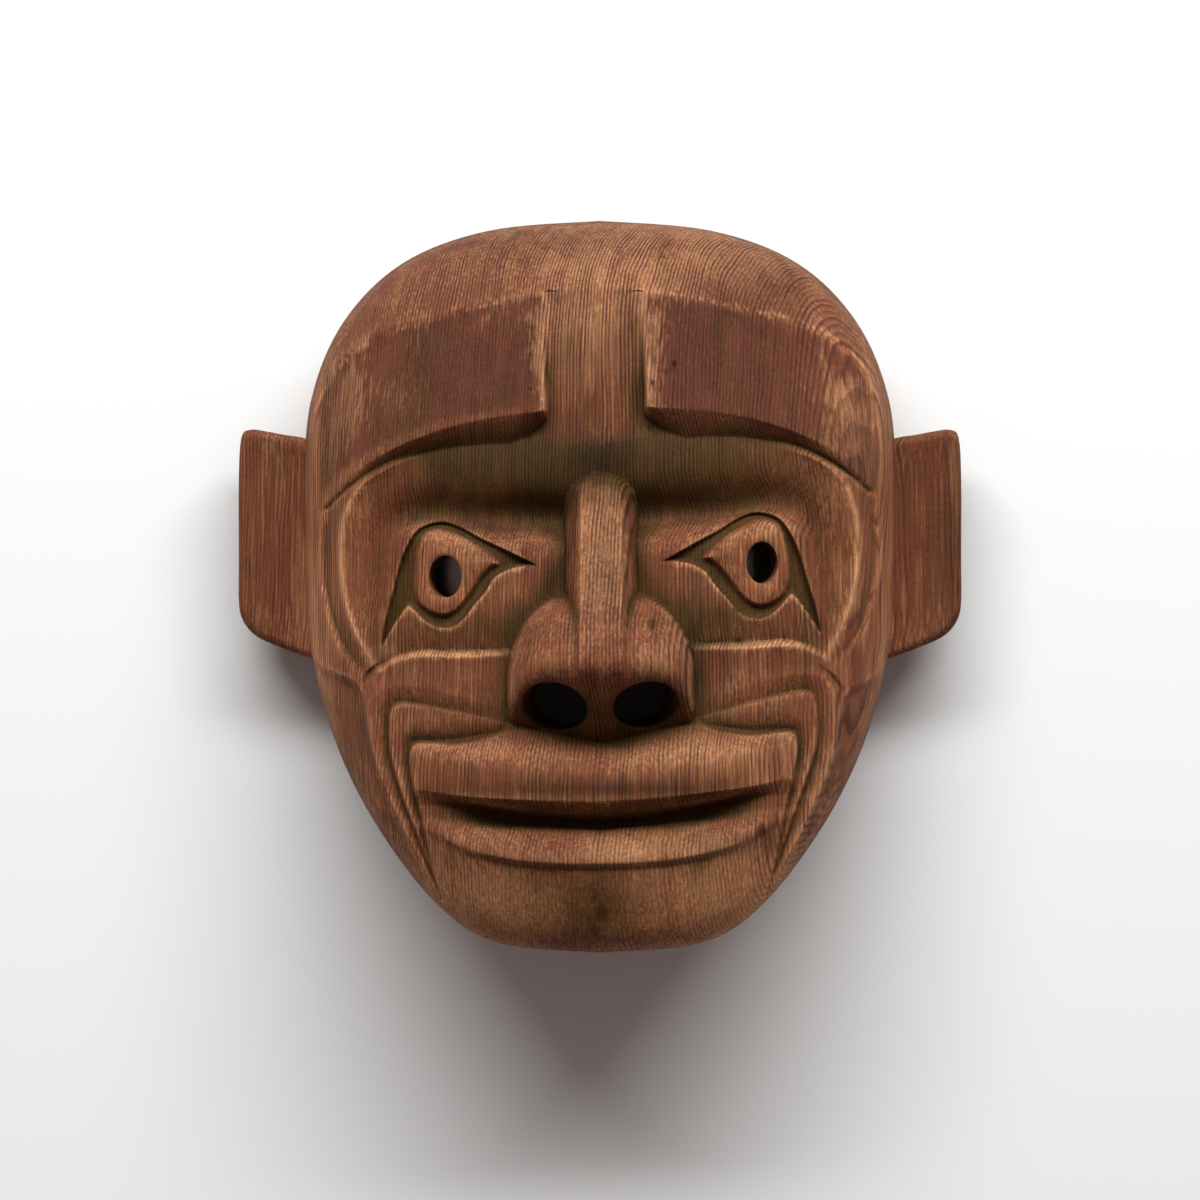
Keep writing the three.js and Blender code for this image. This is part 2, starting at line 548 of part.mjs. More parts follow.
// Closed head: a fine square grid over the dome and the wall, with a flat underside spread from the
// middle of its lowest ring, thinned out to the triangles that the carving needs
function headGeometry() {
  const size = GRID_STEPS + 1;
  const points = [];
  for (let j = 0; j < size; j += 1) {
    for (let i = 0; i < size; i += 1) {
      points.push(new THREE.Vector3(...headPoint((2 * i) / GRID_STEPS - 1, (2 * j) / GRID_STEPS - 1)));
    }
  }
  const index = [];
  const rise = (a, b) => Math.abs(points[a].z - points[b].z);
  for (let j = 0; j < GRID_STEPS; j += 1) {
    for (let i = 0; i < GRID_STEPS; i += 1) {
      const [a, b, c, d] = [j * size + i, j * size + i + 1, (j + 1) * size + i, (j + 1) * size + i + 1];
      // Each cell is split along the flatter of its diagonals, so that edges follow the carved lines
      index.push(...(rise(a, d) < rise(b, c) ? [a, b, d, a, d, c] : [a, b, c, b, d, c]));
    }
  }
  const rim = [];
  for (let i = 0; i < GRID_STEPS; i += 1) rim.push(i);
  for (let j = 0; j < GRID_STEPS; j += 1) rim.push(j * size + GRID_STEPS);
  for (let i = GRID_STEPS; i > 0; i -= 1) rim.push(GRID_STEPS * size + i);
  for (let j = GRID_STEPS; j > 0; j -= 1) rim.push(j * size);
  points.push(new THREE.Vector3(0, 0, 0));
  rim.forEach((k, i) => index.push(rim[(i + 1) % rim.length], k, points.length - 1));
  const positions = new Float32Array(points.flatMap((p) => p.toArray()));
  const [kept] = MeshoptSimplifier.simplify(new Uint32Array(index), positions, 3, 3 * HEAD_FACETS, 1);
  return closedGeometry(points, Array.from(kept));
}

// Only the points that the triangles use, merged where they coincide
function closedGeometry(points, index) {
  const order = [...new Set(index)];
  const place = new Map(order.map((k, i) => [k, i]));
  const geometry = new THREE.BufferGeometry().setFromPoints(order.map((k) => points[k]));
  geometry.setIndex(index.map((k) => place.get(k)));
  return mergeVertices(geometry, 1e-4);
}

// Closed surface through a stack of rings, from its top ring to its bottom ring, both capped flat
function stackGeometry(rings) {
  const count = rings[0].length;
  const points = rings.flat().map((p) => new THREE.Vector3(...p));
  const index = [];
  for (let r = 1; r < rings.length; r += 1) {
    for (let i = 0; i < count; i += 1) {
      const next = (i + 1) % count;
      const [a, b] = [(r - 1) * count + i, (r - 1) * count + next];
      const [c, d] = [r * count + i, r * count + next];
      index.push(a, c, b, b, c, d);
    }
  }
  for (const [ring, up] of [[rings[0], true], [rings.at(-1), false]]) {
    const middle = new THREE.Vector3();
    ring.forEach((p) => middle.add(new THREE.Vector3(...p)));
    points.push(middle.divideScalar(count));
    const first = up ? 0 : (rings.length - 1) * count;
    for (let i = 0; i < count; i += 1) {
      const pair = [first + i, first + ((i + 1) % count)];
      index.push(...(up ? pair : pair.reverse()), points.length - 1);
    }
  }
  return closedGeometry(points, index);
}

// Hollow behind the face: rings that shrink towards its top, from below the rim's plane
function hollowGeometry() {
  const ringAt = (layer) => Array.from({ length: HOLLOW_SIDES }, (_, i) => {
    const [edgeX, edgeY] = outlinePoint(i / HOLLOW_SIDES);
    const radius = Math.hypot(edgeX, edgeY);
    const sine = edgeY / radius;
    const power = lookUp(hollowRoundness, sine);
    const rise = Math.sin((layer / HOLLOW_LAYERS) * (Math.PI / 2));
    const reach = Math.max(1 - rise ** power, 0) ** (1 / power);
    const inner = (radius - lookUp(wallTaper, sine) - RIM_WIDTH) * Math.max(reach, HOLLOW_TOP_SHARE);
    return [(edgeX / radius) * inner, (edgeY / radius) * inner, HOLLOW_HEIGHT * rise];
  });
  const rings = Array.from({ length: HOLLOW_LAYERS + 1 }, (_, k) => ringAt(HOLLOW_LAYERS - k));
  rings.push(rings.at(-1).map(([x, y]) => [x, y, -5]));
  return stackGeometry(rings);
}

// Slanting hole with an elliptical section
function holeGeometry({ front, back, radii }) {
  const ring = ([x, y, z]) => Array.from({ length: HOLE_SIDES }, (_, i) => {
    const angle = (2 * Math.PI * i) / HOLE_SIDES;
    return [x + radii[0] * Math.cos(angle), y + radii[1] * Math.sin(angle), z];
  });
  return stackGeometry([ring(front), ring(back)]);
}

// Ear: rings of its outline drawn in towards its middle, following the profile of its edge
function earGeometry(hand) {
  const outline = smoothLine(EAR_OUTLINE).filter((_, i) => i % 4 === 0);
  const ordered = hand > 0 ? [...outline].reverse() : outline;
  const rings = EAR_PROFILE.map(([inset, z]) => ordered.map(([x, y]) => {
    const dx = x - EAR_MIDDLE[0];
    const dy = y - EAR_MIDDLE[1];
    const root = easeBetween(EAR_ROOT, x);
    const narrow = 1 - (inset * root) / Math.hypot(dx, dy);
    return [hand * (EAR_MIDDLE[0] + dx * narrow), EAR_MIDDLE[1] + dy * narrow, z];
  }));
  return stackGeometry(rings);
}

// Joins and cuts of closed geometries
await MeshoptSimplifier.ready;
const wasm = await Module();
wasm.setup();

function toSolid(geometry) {
  const mesh = new wasm.Mesh({
    numProp: 3,
    vertProperties: new Float32Array(geometry.attributes.position.array),
    triVerts: new Uint32Array(geometry.index.array),
  });
  return new wasm.Manifold(mesh);
}

function toGeometry(solid) {
  const { vertProperties, triVerts } = solid.getMesh();
  const geometry = new THREE.BufferGeometry();
  geometry.setAttribute('position', new THREE.BufferAttribute(vertProperties, 3));
  geometry.setIndex(new THREE.BufferAttribute(triVerts, 1));
  return geometry;
}

let solid = toSolid(headGeometry());
for (const hand of [-1, 1]) solid = solid.add(toSolid(earGeometry(hand)));
solid = solid.subtract(toSolid(hollowGeometry()));
for (const hole of [...PUPILS, ...NOSTRILS]) solid = solid.subtract(toSolid(holeGeometry(hole)));

const cedar = new THREE.MeshStandardMaterial({ color: '#8a5238', roughness: 0.55, metalness: 0 });
const mask = new THREE.Mesh(toGeometry(solid).translate(0, -ORIGIN_Y, 0), cedar);
mask.geometry.computeVertexNormals();
mask.name = 'mask';

const part = new THREE.Group();
part.add(mask);
export default part;
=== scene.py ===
"""Forest spirit mask, carved from one block of red cedar and hollowed at the back.

The mask is one surface. It is the same form as its solid, worked out from the same real sizes on a
finer grid, with its edges softened, its holes eased, gouge marks in the hollow and a cedar finish.
Sizes are in millimetres about the carving's own middle, and become metres when a mesh is made.
"""

import functools
import math

import bpy
import numpy as np
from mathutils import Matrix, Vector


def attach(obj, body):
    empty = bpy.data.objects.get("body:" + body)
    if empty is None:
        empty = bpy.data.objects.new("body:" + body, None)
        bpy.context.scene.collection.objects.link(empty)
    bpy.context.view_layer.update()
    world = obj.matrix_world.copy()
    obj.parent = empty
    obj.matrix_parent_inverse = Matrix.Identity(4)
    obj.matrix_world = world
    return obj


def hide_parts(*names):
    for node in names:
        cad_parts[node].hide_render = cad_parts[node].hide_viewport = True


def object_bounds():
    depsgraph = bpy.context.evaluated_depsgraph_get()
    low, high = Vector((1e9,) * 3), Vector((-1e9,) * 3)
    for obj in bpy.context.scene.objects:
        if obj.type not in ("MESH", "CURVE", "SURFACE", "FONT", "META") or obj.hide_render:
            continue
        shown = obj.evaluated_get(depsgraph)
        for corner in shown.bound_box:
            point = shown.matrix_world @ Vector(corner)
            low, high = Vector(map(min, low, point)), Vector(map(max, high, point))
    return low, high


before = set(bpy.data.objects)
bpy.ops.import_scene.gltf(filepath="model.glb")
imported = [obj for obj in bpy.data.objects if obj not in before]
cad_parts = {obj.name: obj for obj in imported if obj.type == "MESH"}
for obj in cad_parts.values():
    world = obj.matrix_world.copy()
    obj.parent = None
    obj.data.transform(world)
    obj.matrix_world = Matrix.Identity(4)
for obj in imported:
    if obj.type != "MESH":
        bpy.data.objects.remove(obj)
cad_low, cad_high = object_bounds()

MM = 0.001

# How far up from the carving's own middle the frame's origin lies
ORIGIN_Y = 1.25

# Block and dome. The face's lines lean over by a small slope, which fades out at crown and chin.
CROWN_HEIGHT = 106
FACE_LEAN = 0.03
LEAN_FADE = [(-125, 0), (-85, 1), (65, 1), (105, 0)]
FACE_MIDDLE = [(-115, 1.3), (-60, 1.4), (0, 0), (60, -1.4), (90, -2.1)]

# Half outline at the widest level, from the top of the crown to the chin
OUTLINE = [
    (0, 139.5), (42.5, 135.8), (75.6, 123.5), (98.6, 101), (111.2, 71), (114, 36.5), (113.5, 2),
    (110.5, -27), (100.8, -60), (84.4, -90.5), (61, -119.5), (38, -133.5), (0, -137),
]

# Against the sine of the direction round the outline, from -1 at the chin to 1 at the crown
WIDEST_LEVEL = [(-1, 80), (-0.8, 66), (-0.45, 42), (0, 30), (0.5, 32), (1, 38)]
ROUNDNESS = [(-1, 4.6), (-0.8, 3.6), (-0.5, 2.5), (0, 2.1), (0.5, 2.2), (1, 2.4)]
WALL_TAPER = [(-1, 13), (-0.8, 9), (-0.45, 4), (0, 3), (1, 4)]

# Hollow behind the face
HOLLOW_HEIGHT = 78
RIM_WIDTH = 12
HOLLOW_ROUNDNESS = [(-1, 4), (-0.5, 3), (1, 2.8)]

# Depth that the face lies below the dome along its middle, against height up the face
FACE_DEPTH = [
    (-140, 0), (-122, 0.5), (-100, 2), (-80, 4), (-58, 7), (-40, 9.5), (-20, 11.5), (5, 12.5),
    (25, 13), (45, 14), (62, 14.2), (80, 9.5), (92, 5.8), (100, 3.4), (107, 1.6), (112, 0.4), (120, 0),
]
FACE_HALF_WIDTH = 99
FACE_FALL = 2.2

# Brow plates
BROW_TOP = [
    (17, 109.5), (37, 106), (59.5, 100.6), (75, 97), (86.5, 92.5), (96.5, 85.5), (102.5, 78), (107, 69),
]
BROW_BOTTOM = [
    (18, 65.2), (37, 63.5), (52, 61), (63, 58), (74.5, 54), (86, 48.5), (96, 42), (107, 33),
]
BROW_INNER_END = 17.3
BROW_OUTER_END = 108.5
BROW_INNER_SLOPE = 2
BROW_OUTER_FADE = 6
BROW_SET_BACK = [(30, 5.5), (95, 1)]
BROW_WALL_WIDTH = [(17.3, 3), (25, 8.5), (33, 10.5), (55, 7.5), (75, 4.8)]
BROW_LEAN = 1.2
CROWN_ARRIS = [(8, 0), (22, 1)]
BROW_CHANNEL = {
    "line": [(62, 53.9), (74.5, 49.7), (86, 44.2), (94.5, 38.6), (102.3, 32.2)],
    "depth": [0, 0.5, 1.4, 2.2, 2.1],
    "reach": ([4, 4], [1.2, 1.2]),
    "bend": (1, 1),
}

# Eye sockets
COVE = [
    (5, 24), (29.5, 24.3), (46, 25.3), (62, 28.3), (75.5, 25), (82, 16), (85, 2), (86, -13.5),
    (84, -26.5),
]
COVE_DEPTH = [(0, 11), (20, 12), (40, 11), (60, 8.5), (80, 5), (90, 3)]
COVE_FADE = [(-30, 0.1), (0, 0.6), (20, 1)]
COVE_REACH_UP = [(0, 13), (40, 12.5), (70, 11), (90, 8)]
COVE_REACH_DOWN = [(0, 8.5), (40, 8), (70, 5.5), (90, 4)]
COVE_FALL = 1.4
COVE_SPAN = 32
EYE_PAD = {"middle": (53, 1), "reach": (29, 24), "height": 3}
SOCKET_RIM = {
    "line": [
        (64, 50), (76, 46.5), (86.5, 41), (93.2, 33), (96.4, 24), (97.2, 13), (96.4, 1), (94, -10),
        (89.5, -20.5), (84, -29),
    ],
    "height": [0, 2.3, 2.5, 2.5, 2.5, 2.4, 2.2, 0],
    "reach": (2.2, 4),
    "span": 20,
}
CHEEK_STEP = {
    "line": [(82.5, -29), (75.5, -25), (67, -23.5), (56, -24), (46.5, -24), (34, -24)],
    "height": [0.1, 1.4, 1.6, 1.6, 1.6, 1.2],
    "rise": 1.3,
    "reach": (9, 7),
    "span": 25,
}

# Temple and jaw
JAW_EDGE = {
    "line": [
        (113, -27), (104, -31.5), (97.7, -34), (92.9, -36.3), (89.8, -41), (88.2, -48), (86.6, -59),
        (83.4, -70.3), (78.8, -80.7), (73.4, -92.1), (66.7, -104.1), (60.1, -117.9),
    ],
    "depth": [1.5, 2, 1.9, 1.8, 1.7, 1.6, 1.1, 0.3],
    "rise": 3.2,
    "start": 0.15,
    "reach": 12,
    "span": 45,
}
JAW_RIDGE = {
    "line": JAW_EDGE["line"],
    "height": [0, 0.9, 1.1, 1.2, 1.2, 1.1, 0.9, 0.3],
    "reach": (1.6, 2.2),
    "span": 12,
}
JAW_DROP = 3
JAW_DROP_FADE = [(-70, 0), (-40, 1), (-20, 0)]

# Eyes
EYE_OPENING = [
    (23.5, 8), (33.5, 13.5), (44, 19), (53, 24), (59.5, 25.5), (66.5, 23.5), (70.5, 19), (74.5, 10.5),
    (77.5, 0), (80.5, -10.5), (82, -20.5), (77.5, -13.5), (73.5, -8), (71.5, -6), (69.5, -7.5),
    (65.5, -11.5), (60.5, -14.3), (54.5, -14), (50, -10.5), (46.5, -6), (42.5, -1.5), (39, 3.5),
    (33.5, 6.5), (28, 7.5),
]
EYE_DEPTH = 3.2
LID_WIDTH = 1.6
EYEBALL = [
    (37, 9.2), (45, 16.2), (53.5, 21.2), (59.5, 23.2), (65, 21.4), (68.2, 16.2), (69.6, 8), (69.6, 0),
    (68, -5.5), (64, -9), (59, -10.6), (54.5, -9.6), (50.5, -6.2), (46.8, -1.5), (43.5, 3.2), (40, 6.8),
]
RIGHT_EYEBALL_SHIFT = 1.4
EYEBALL_EDGE_HEIGHT = 1.6
EYEBALL_EDGE_WIDTH = 1.7
EYEBALL_DOME_HEIGHT = 2.6
EYEBALL_DOME_REACH = 5.5

# Cut lines: each is deepest on the line, with its own reach to the left and the right of it.
# The lists of depth and reach are spread evenly along the line.
TEMPLE_GROOVE = {
    "line": [(101, 33), (103.4, 17), (103, 2), (100, -11.5), (96, -21), (89, -30)],
    "depth": [0.6, 2.2, 2.6, 2.3, 0.5],
    "reach": ([2.6, 2.6], [4, 5, 5, 5, 4]),
    "bend": (1, 1.3),
}
TEMPLE_NOTCH = {
    "line": [(82.2, -29.3), (87.1, -33), (89.4, -36.7), (90.2, -41.5)],
    "depth": [0.6, 1.6, 1.4, 0.3],
    "reach": ([1.2, 1.2], [2.6, 2.6]),
    "bend": (1, 1),
}
OUTER_FOLD = {
    "line": [
        (34.7, -50.1), (44.3, -47.6), (51.8, -45.6), (59.2, -44), (66.8, -42.3), (74.3, -41.2),
        (78.6, -42.5), (80.5, -46), (80.8, -51), (80.7, -57.3), (79.5, -64.7), (77.2, -72.1),
        (74.1, -80.6), (70.4, -90.5), (65.2, -104), (60, -116.7),
    ],
    "depth": [0.4, 1.2, 1.8, 2.2, 2.8, 3.2, 3.2, 3, 2.8, 2.2, 0.8],
    "reach": (
        [3, 5, 6, 6, 6, 5.6, 5.4, 4.8, 4, 3, 1.5],
        [0.9, 1, 1.2, 1.6, 1.6, 1.6, 1.6, 1.5, 1.4, 1.2, 0.8],
    ),
    "bend": (1.1, 1),
}
INNER_FOLD = {
    "line": [
        (34.7, -50.5), (40.6, -54), (48, -55.6), (55.4, -56.6), (62.9, -56), (68.5, -55.8),
        (71.8, -57.5), (73, -61.5), (72.6, -66.6), (71.1, -74), (68.8, -83.2), (66.2, -94.8),
        (62.9, -108), (60, -116.7),
    ],
    "depth": [0.4, 1.8, 3, 3.2, 3, 2.8, 2.6, 2.2, 1.8, 0.6],
    "reach": (
        [3, 5.5, 8, 7.5, 4.4, 4.4, 4, 3, 2.2, 1.2],
        [1, 1.2, 1.5, 1.5, 1.5, 1.5, 1.5, 1.4, 1.2, 0.8],
    ),
    "bend": (1.5, 1),
}

# Nose
BRIDGE_HEIGHT = [
    (-64, 92), (-60, 99), (-57, 104), (-50, 115.5), (-44, 125), (-40, 129.5), (-36, 131), (-30, 130.5),
    (-10, 122), (10, 113.5), (30, 105), (35, 102.5), (38.5, 99), (40.5, 95), (42, 85),
]
BRIDGE_HALF_WIDTH = [
    (-64, 7), (-40, 7.8), (-10, 7.6), (20, 7.6), (34, 7.4), (38, 6.2), (40.5, 4), (42, 3),
]
BRIDGE_MIDDLE = 0.4
BRIDGE_TOP = 43
BRIDGE_CROWN = 0.8
BRIDGE_SIDE_SLOPE = 3
BRIDGE_SIDE_WIDTH = 5.4
BRIDGE_FOOT_SLOPE = 8
LOBE_FLAT = 8
LOBE_REACH = 28
LOBE_MIDDLE = -38
LOBE_UP = 36
LOBE_DOWN = 42
LOBE_BASE = 88
LOBE_HEIGHT = 39
LOBE_ROUNDNESS = 2.15
LOBE_BLEND = 4
UNDERSIDE_HEIGHT = 102.6
UNDERSIDE_SLOPE = 1.12
UNDERSIDE_EDGE = -56
UNDERSIDE_SWEEP = 0.25
UNDERSIDE_BLEND = 7

# Lips: lines across the mouth
LIP_TOP = [
    (0, -58.6), (7.5, -57.4), (16.5, -55), (25.5, -53.2), (33, -52.8), (44, -54.5), (55, -56.3),
    (64, -56.5), (74, -57),
]
LIP_CREST = [(0, -70.5), (14.5, -70.5), (29.5, -69), (44, -66.5), (58.5, -63.5), (74, -61)]
LIP_EDGE = [(0, -79.5), (18.5, -78.8), (36.5, -77.5), (52, -76.3), (64, -74.5), (74, -73)]
MOUTH = [(0, -87.2), (14.5, -86.4), (29.5, -84.8), (44, -82.3), (58.5, -80), (74, -79)]
LOWER_LIP_TOP = [(0, -89.2), (29.5, -87.4), (51.5, -85), (74, -84)]
LOWER_LIP_CREST = [
    (0, -101.8), (14.5, -101.5), (29.5, -100.2), (44, -97.4), (52, -95), (61, -90.4), (74, -85.5),
]
LIP_CORNER = [(40, 0), (66, 1)]
SLIT_END = [(44, 1), (68, 0)]
LIP_END = [(69, 1), (74, 0)]

# Holes cut right through: ellipses, shifted sideways on their way to the back. Each has a front and a
# back middle, and reaches across and up. Each rim is eased over a width, by a depth.
PUPILS = [((-59, 3, 104), (-53, 3, 48), (6.3, 7.8)), ((61.8, 8.2, 104), (55.8, 8.2, 48), (6.1, 7.8))]
NOSTRILS = [
    ((-20.4, -46.8, 136), (-10, -41, 62), (12.4, 9.8)), ((20.4, -46.2, 136), (10, -40, 62), (12.4, 9.4)),
]
HOLE_EASE_WIDTH = 0.9
HOLE_EASE_DEPTH = 0.9

# Ears: a plate with rounded edges and a slightly dished face, its inner end buried in the head
EAR_OUTLINE = [
    (104, 54), (115, 57), (121.5, 58), (129.5, 59.5), (135, 60), (138.5, 57), (139.5, 40.5),
    (139.5, 9.5), (139.5, -6), (138, -13.5), (133, -19.5), (123.5, -24), (111, -28.5), (104, -29),
]
EAR_MIDDLE = (120, 17)
EAR_ROOT = [(104, 0), (110, 1)]
EAR_TOP = 33
EAR_UNDERSIDE = 14.5
EAR_EDGE = 3.6
EAR_DISH = 1.6
EAR_DISH_POWER = 4

# Hand finish: shallow waves left by the knife, and the gouge's scoops inside
KNIFE_WAVE = 0.14
KNIFE_WAVE_LENGTH = (9, 15)
KNIFE_SINK = 2
KNIFE_FADE = 0.2
KNIFE_SEED = 3
SCOOP_DEPTH = 0.9
SCOOP_WIDTH = 13
SCOOP_LENGTH = 26
SCOOP_DRIFT = 0.35
SCOOP_DRIFT_LENGTH = (40, 60)
SCOOP_STAGGER = 0.5
SCOOP_STRAY = 0.2
SCOOP_STRAY_TURN = 2.4
SCOOP_CLIMB = 0.8
SCOOP_FADE = 12
SCOOP_AIM = 25
SCOOP_SEED = 11

# Fineness
GRID_STEPS = 960
DOME_SHARE = 0.86
RING_CROWDING = 0.25
HEAD_TRIANGLES = 150000
HOLLOW_SIDES = 220
HOLLOW_LAYERS = 70
HOLLOW_TIP = 0.02
HOLLOW_OVERCUT = 5
HOLE_SIDES = 72
HOLE_LAYERS = 24
EAR_FACE_SHARES = (0.04, 1, 14)
EAR_EDGE_LAYERS = 9
CURVE_STEPS = 8
FIELD_SIZE = 320
MAP_REACH = 145
SHARP_EDGE = 50

# Grain: growth rings round a pith line parallel to Y, off at the upper right behind the block
PITH = (200, 150)
RING_SPACING = 1.3
RING_SPREAD = 0.001
RING_SPREAD_MIDDLE = 50
RING_SPREAD_REACH = 35
RING_WAVES = {"waves": (3, 60), "wobble": (0.45, 11), "flecks": (0.06, 2.4)}
RING_RISE = (0.3, 0.8)
RING_FALL = (0.9, 1)
RING_ODDS = (0.5, 1.2)
RING_STRENGTH = (0.15, 1.45)

# Patina and painted light: how far below its surroundings a place lies, for olive stain and painted
# shade, or how far it stands out, for wear and painted highlight, over these widths
RECESS_WIDTH = 7
RECESS_DEPTH = 6
CREASE_WIDTH = 3
CREASE_DEPTH = 1.6
EDGE_WIDTH = 1.6
EDGE_HEIGHT = 0.9

# Places where the stain is worn thin, where it lies thick and olive, and where the wood is paler or
# darker, as soft ellipses: middle, reach across and up, and amount. Each list is partly the wood's own
# stain, wear and tone, and partly painted light and painted shade: painted light on the crown, the
# bridge and the sides, painted shade under the brows, the nose and the lips.
# Worn places, partly painted light on the crown, the bridge and the sides
WORN_AND_LIT = [
    (12, 122, 50, 14, 0.6), (-2, 92, 15, 20, 0.6), (88, 72, 10, 14, 0.25), (-86, 72, 9, 14, 0.2),
    (-22, 85, 4, 20, 0.6), (20.5, 87, 4, 20, 0.6), (-98, 66, 8, 18, 0.5), (96, 66, 9, 18, 0.6),
    (0, 12, 9, 30, 0.6), (24, -26, 10, 8, 0.5), (40, -62, 32, 6, 0.5), (-40, -62, 30, 5, 0.3),
    (45, -97, 22, 6, 0.25), (5, -97, 14, 7, 0.6), (60, -22, 22, 2, 0.7), (-60, -25, 22, 2, 0.6),
    (-42, -116, 30, 20, 0.6), (45, -114, 32, 22, 0.75), (-52, 18, 18, 3, 0.3), (57, 20, 18, 3, 0.3),
    (-58, 3, 9, 11, 0.3), (60, 7, 9, 11, 0.3), (-88, 5, 4, 35, 0.1), (88, 5, 4, 35, 0.2),
    (-106, -5, 8, 50, 0.4), (-35, 100, 40, 5, 0.25),
]
# Olive: partly stain in the hollows, partly painted shade under the brows, the nose and the lips
OLIVE_STAIN_AND_SHADE = [
    (0, 44, 50, 11, 1.1), (-45, 46, 30, 12, 0.9), (45, 46, 30, 12, 0.7), (-30, 30, 22, 5, 0.45),
    (33, 31, 24, 5, 0.4), (-50, -15, 26, 6, 0.55), (50, -12, 28, 6, 0.55), (-38, -10, 9, 12, 0.1),
    (40, -8, 9, 12, 0.1), (0, -50, 24, 8, 0.45), (0, -84, 56, 5, 1.1), (-3, -121, 15, 14, 0.8),
    (-128, 17, 14, 50, 0.25), (-42, -116, 30, 20, 0.2), (45, -114, 32, 22, 0.2), (0, -46, 75, 4, 0.3),
    (0, -45, 9, 10, 0.2), (-108, 0, 9, 60, 0.3), (108, 0, 9, 60, 0.2), (-108, 60, 10, 30, 0.1),
]
# Paler and darker: partly the wood's own tone, partly painted light on the sides, the nose's underside
# and the mouth, and painted shade
PALE_LIGHT_AND_SHADE = [
    (-42, -118, 30, 20, 0.15), (45, -116, 34, 22, 0.2), (-30, 30, 20, 4, -0.2), (33, 31, 22, 4, -0.2),
    (-60, 80, 45, 14, -0.2), (32, -32, 14, 13, -0.25), (0, -75.5, 58, 3.5, -0.75),
    (-128, 17, 14, 50, -0.16), (128, 17, 14, 50, -0.35), (-108, 0, 9, 60, 0.8), (108, 0, 8, 60, 0.6),
    (66, 112, 30, 15, -0.38), (-58, 3, 10, 12, 0.55), (60, 7, 10, 12, 0.5), (50, 46, 25, 10, 0.4),
    (0, 46, 12, 8, -0.4), (-84, 76, 12, 16, 0.55), (86, 76, 12, 16, 0.75), (0, -83, 58, 5, 0.9),
    (0, -47, 10, 9, 0.4), (-92, 42, 5, 25, 0.3), (-42, 98, 25, 8, 0.1), (-10, 46, 90, 5, -0.2),
    (45, -95, 22, 6, -0.55), (40, -75, 25, 4, -0.25), (5, -97, 14, 7, -0.23), (0, 12, 9, 30, -0.12),
    (139, 17, 7, 45, -0.25), (106, -5, 9, 50, 0.2), (-15, 129, 65, 9, -0.42), (3, 89, 24, 11, -0.25),
    (2, 4, 6, 12, -0.45), (-42, 20, 14, 5, -0.45), (-28, -98, 28, 6, -0.25), (0, -40, 20, 14, 0.5),
    (0, -127, 40, 8, 0.35), (-80, 46, 26, 8, 0.15), (78, 47, 14, 8, 0.2), (84, -34, 16, 8, 0.2),
    (-84, -38, 10, 14, 0.15), (62, -72, 12, 8, 0.35), (6, 34, 12, 6, 0.5), (84, 102, 14, 12, 0.3),
    (94, 46, 9, 10, 0.25), (-76, -62, 6, 28, 0.2), (-55, 35, 18, 5, 0.15), (46, 35, 18, 5, 0.15),
]

# Where the rings show strongly or faintly, about a middle of a half
GRAIN = [
    (0, -118, 75, 22, -0.75), (0, 112, 60, 25, 0.6), (0, 50, 9, 25, 0.3), (0, -25, 11, 22, 0.1),
    (35, -32, 14, 13, 0.6), (-30, -32, 14, 13, -0.8), (-62, -35, 25, 12, -0.3), (62, -35, 25, 12, -0.4),
    (0, -97, 60, 8, 0.1), (-40, -74, 32, 7, -0.3), (40, -74, 32, 7, -0.2), (-57, 4, 13, 16, -0.5),
    (60, 7, 13, 16, -0.5), (128, 17, 12, 50, -0.8), (-128, 17, 12, 50, -0.5), (-60, 80, 40, 14, -0.5),
    (60, 80, 40, 14, 0.3), (0, 45, 60, 12, 0.6), (-90, 12, 7, 28, -0.9), (90, 12, 7, 28, -1),
    (-65, 40, 25, 8, -0.3), (65, 40, 25, 8, -0.3),
]

# Edges that hands have rubbed, each with the half width of the wear. Along these lit edges the wear
# also carries a painted highlight.
RUBBED_AND_LIT_EDGES = [
    (SOCKET_RIM["line"][3:], 1.5), (CHEEK_STEP["line"], 1.2), (EYE_OPENING[10:], 0.8),
    ([(18.5, 66), (18.5, 88), (18.3, 108)], 1.2), (BROW_TOP, 0.5),
]
RUBBED_WEAR_AND_HIGHLIGHT = 0.7
# Olive stain and painted shade in the trench round each eyeball
LID_OLIVE_AND_SHADE = 0.8
CREASE_SHARE = 0.8

# How softly the plates' stain ends at their top, foot, inner and outer ends, and how softly the marks
# end at the outline and begin inside. The stain and the wear stop at levels on the side walls.
PLATE_FADES = (0.8, 2, 1.5, 9)
FACE_FADE = 0.05
INSIDE_START, INSIDE_FADE = 1.5, 2
PLATE_LEVEL = 30
WORN_LEVEL = 20

# Small dark marks in the wood: middle, radius across and depth of tone
SPOTS = [
    (59.5, -91, 1.9, 0.55), (19.1, -14.5, 1.4, 0.6), (27.6, 81.9, 0.9, 0.75), (19.4, 74.8, 0.6, 0.7),
    (-25.8, 89.4, 0.5, 0.6), (-25.8, 72.6, 0.5, 0.6), (1, -121, 2.2, 0.45), (-2, -128, 1.6, 0.4),
]
SPOT_SQUEEZE = 0.7

# How far the wood's textures are squeezed along X, Y and Z before they are read
SQUEEZES = {
    "waves": (1, 0.15, 1), "wobble": (1, 0.35, 1), "flecks": (1, 0.25, 1), "streaks": (1, 0.02, 1),
    "fibres": (1, 0.01, 1), "across": (0.12, 1, 0.12),
}

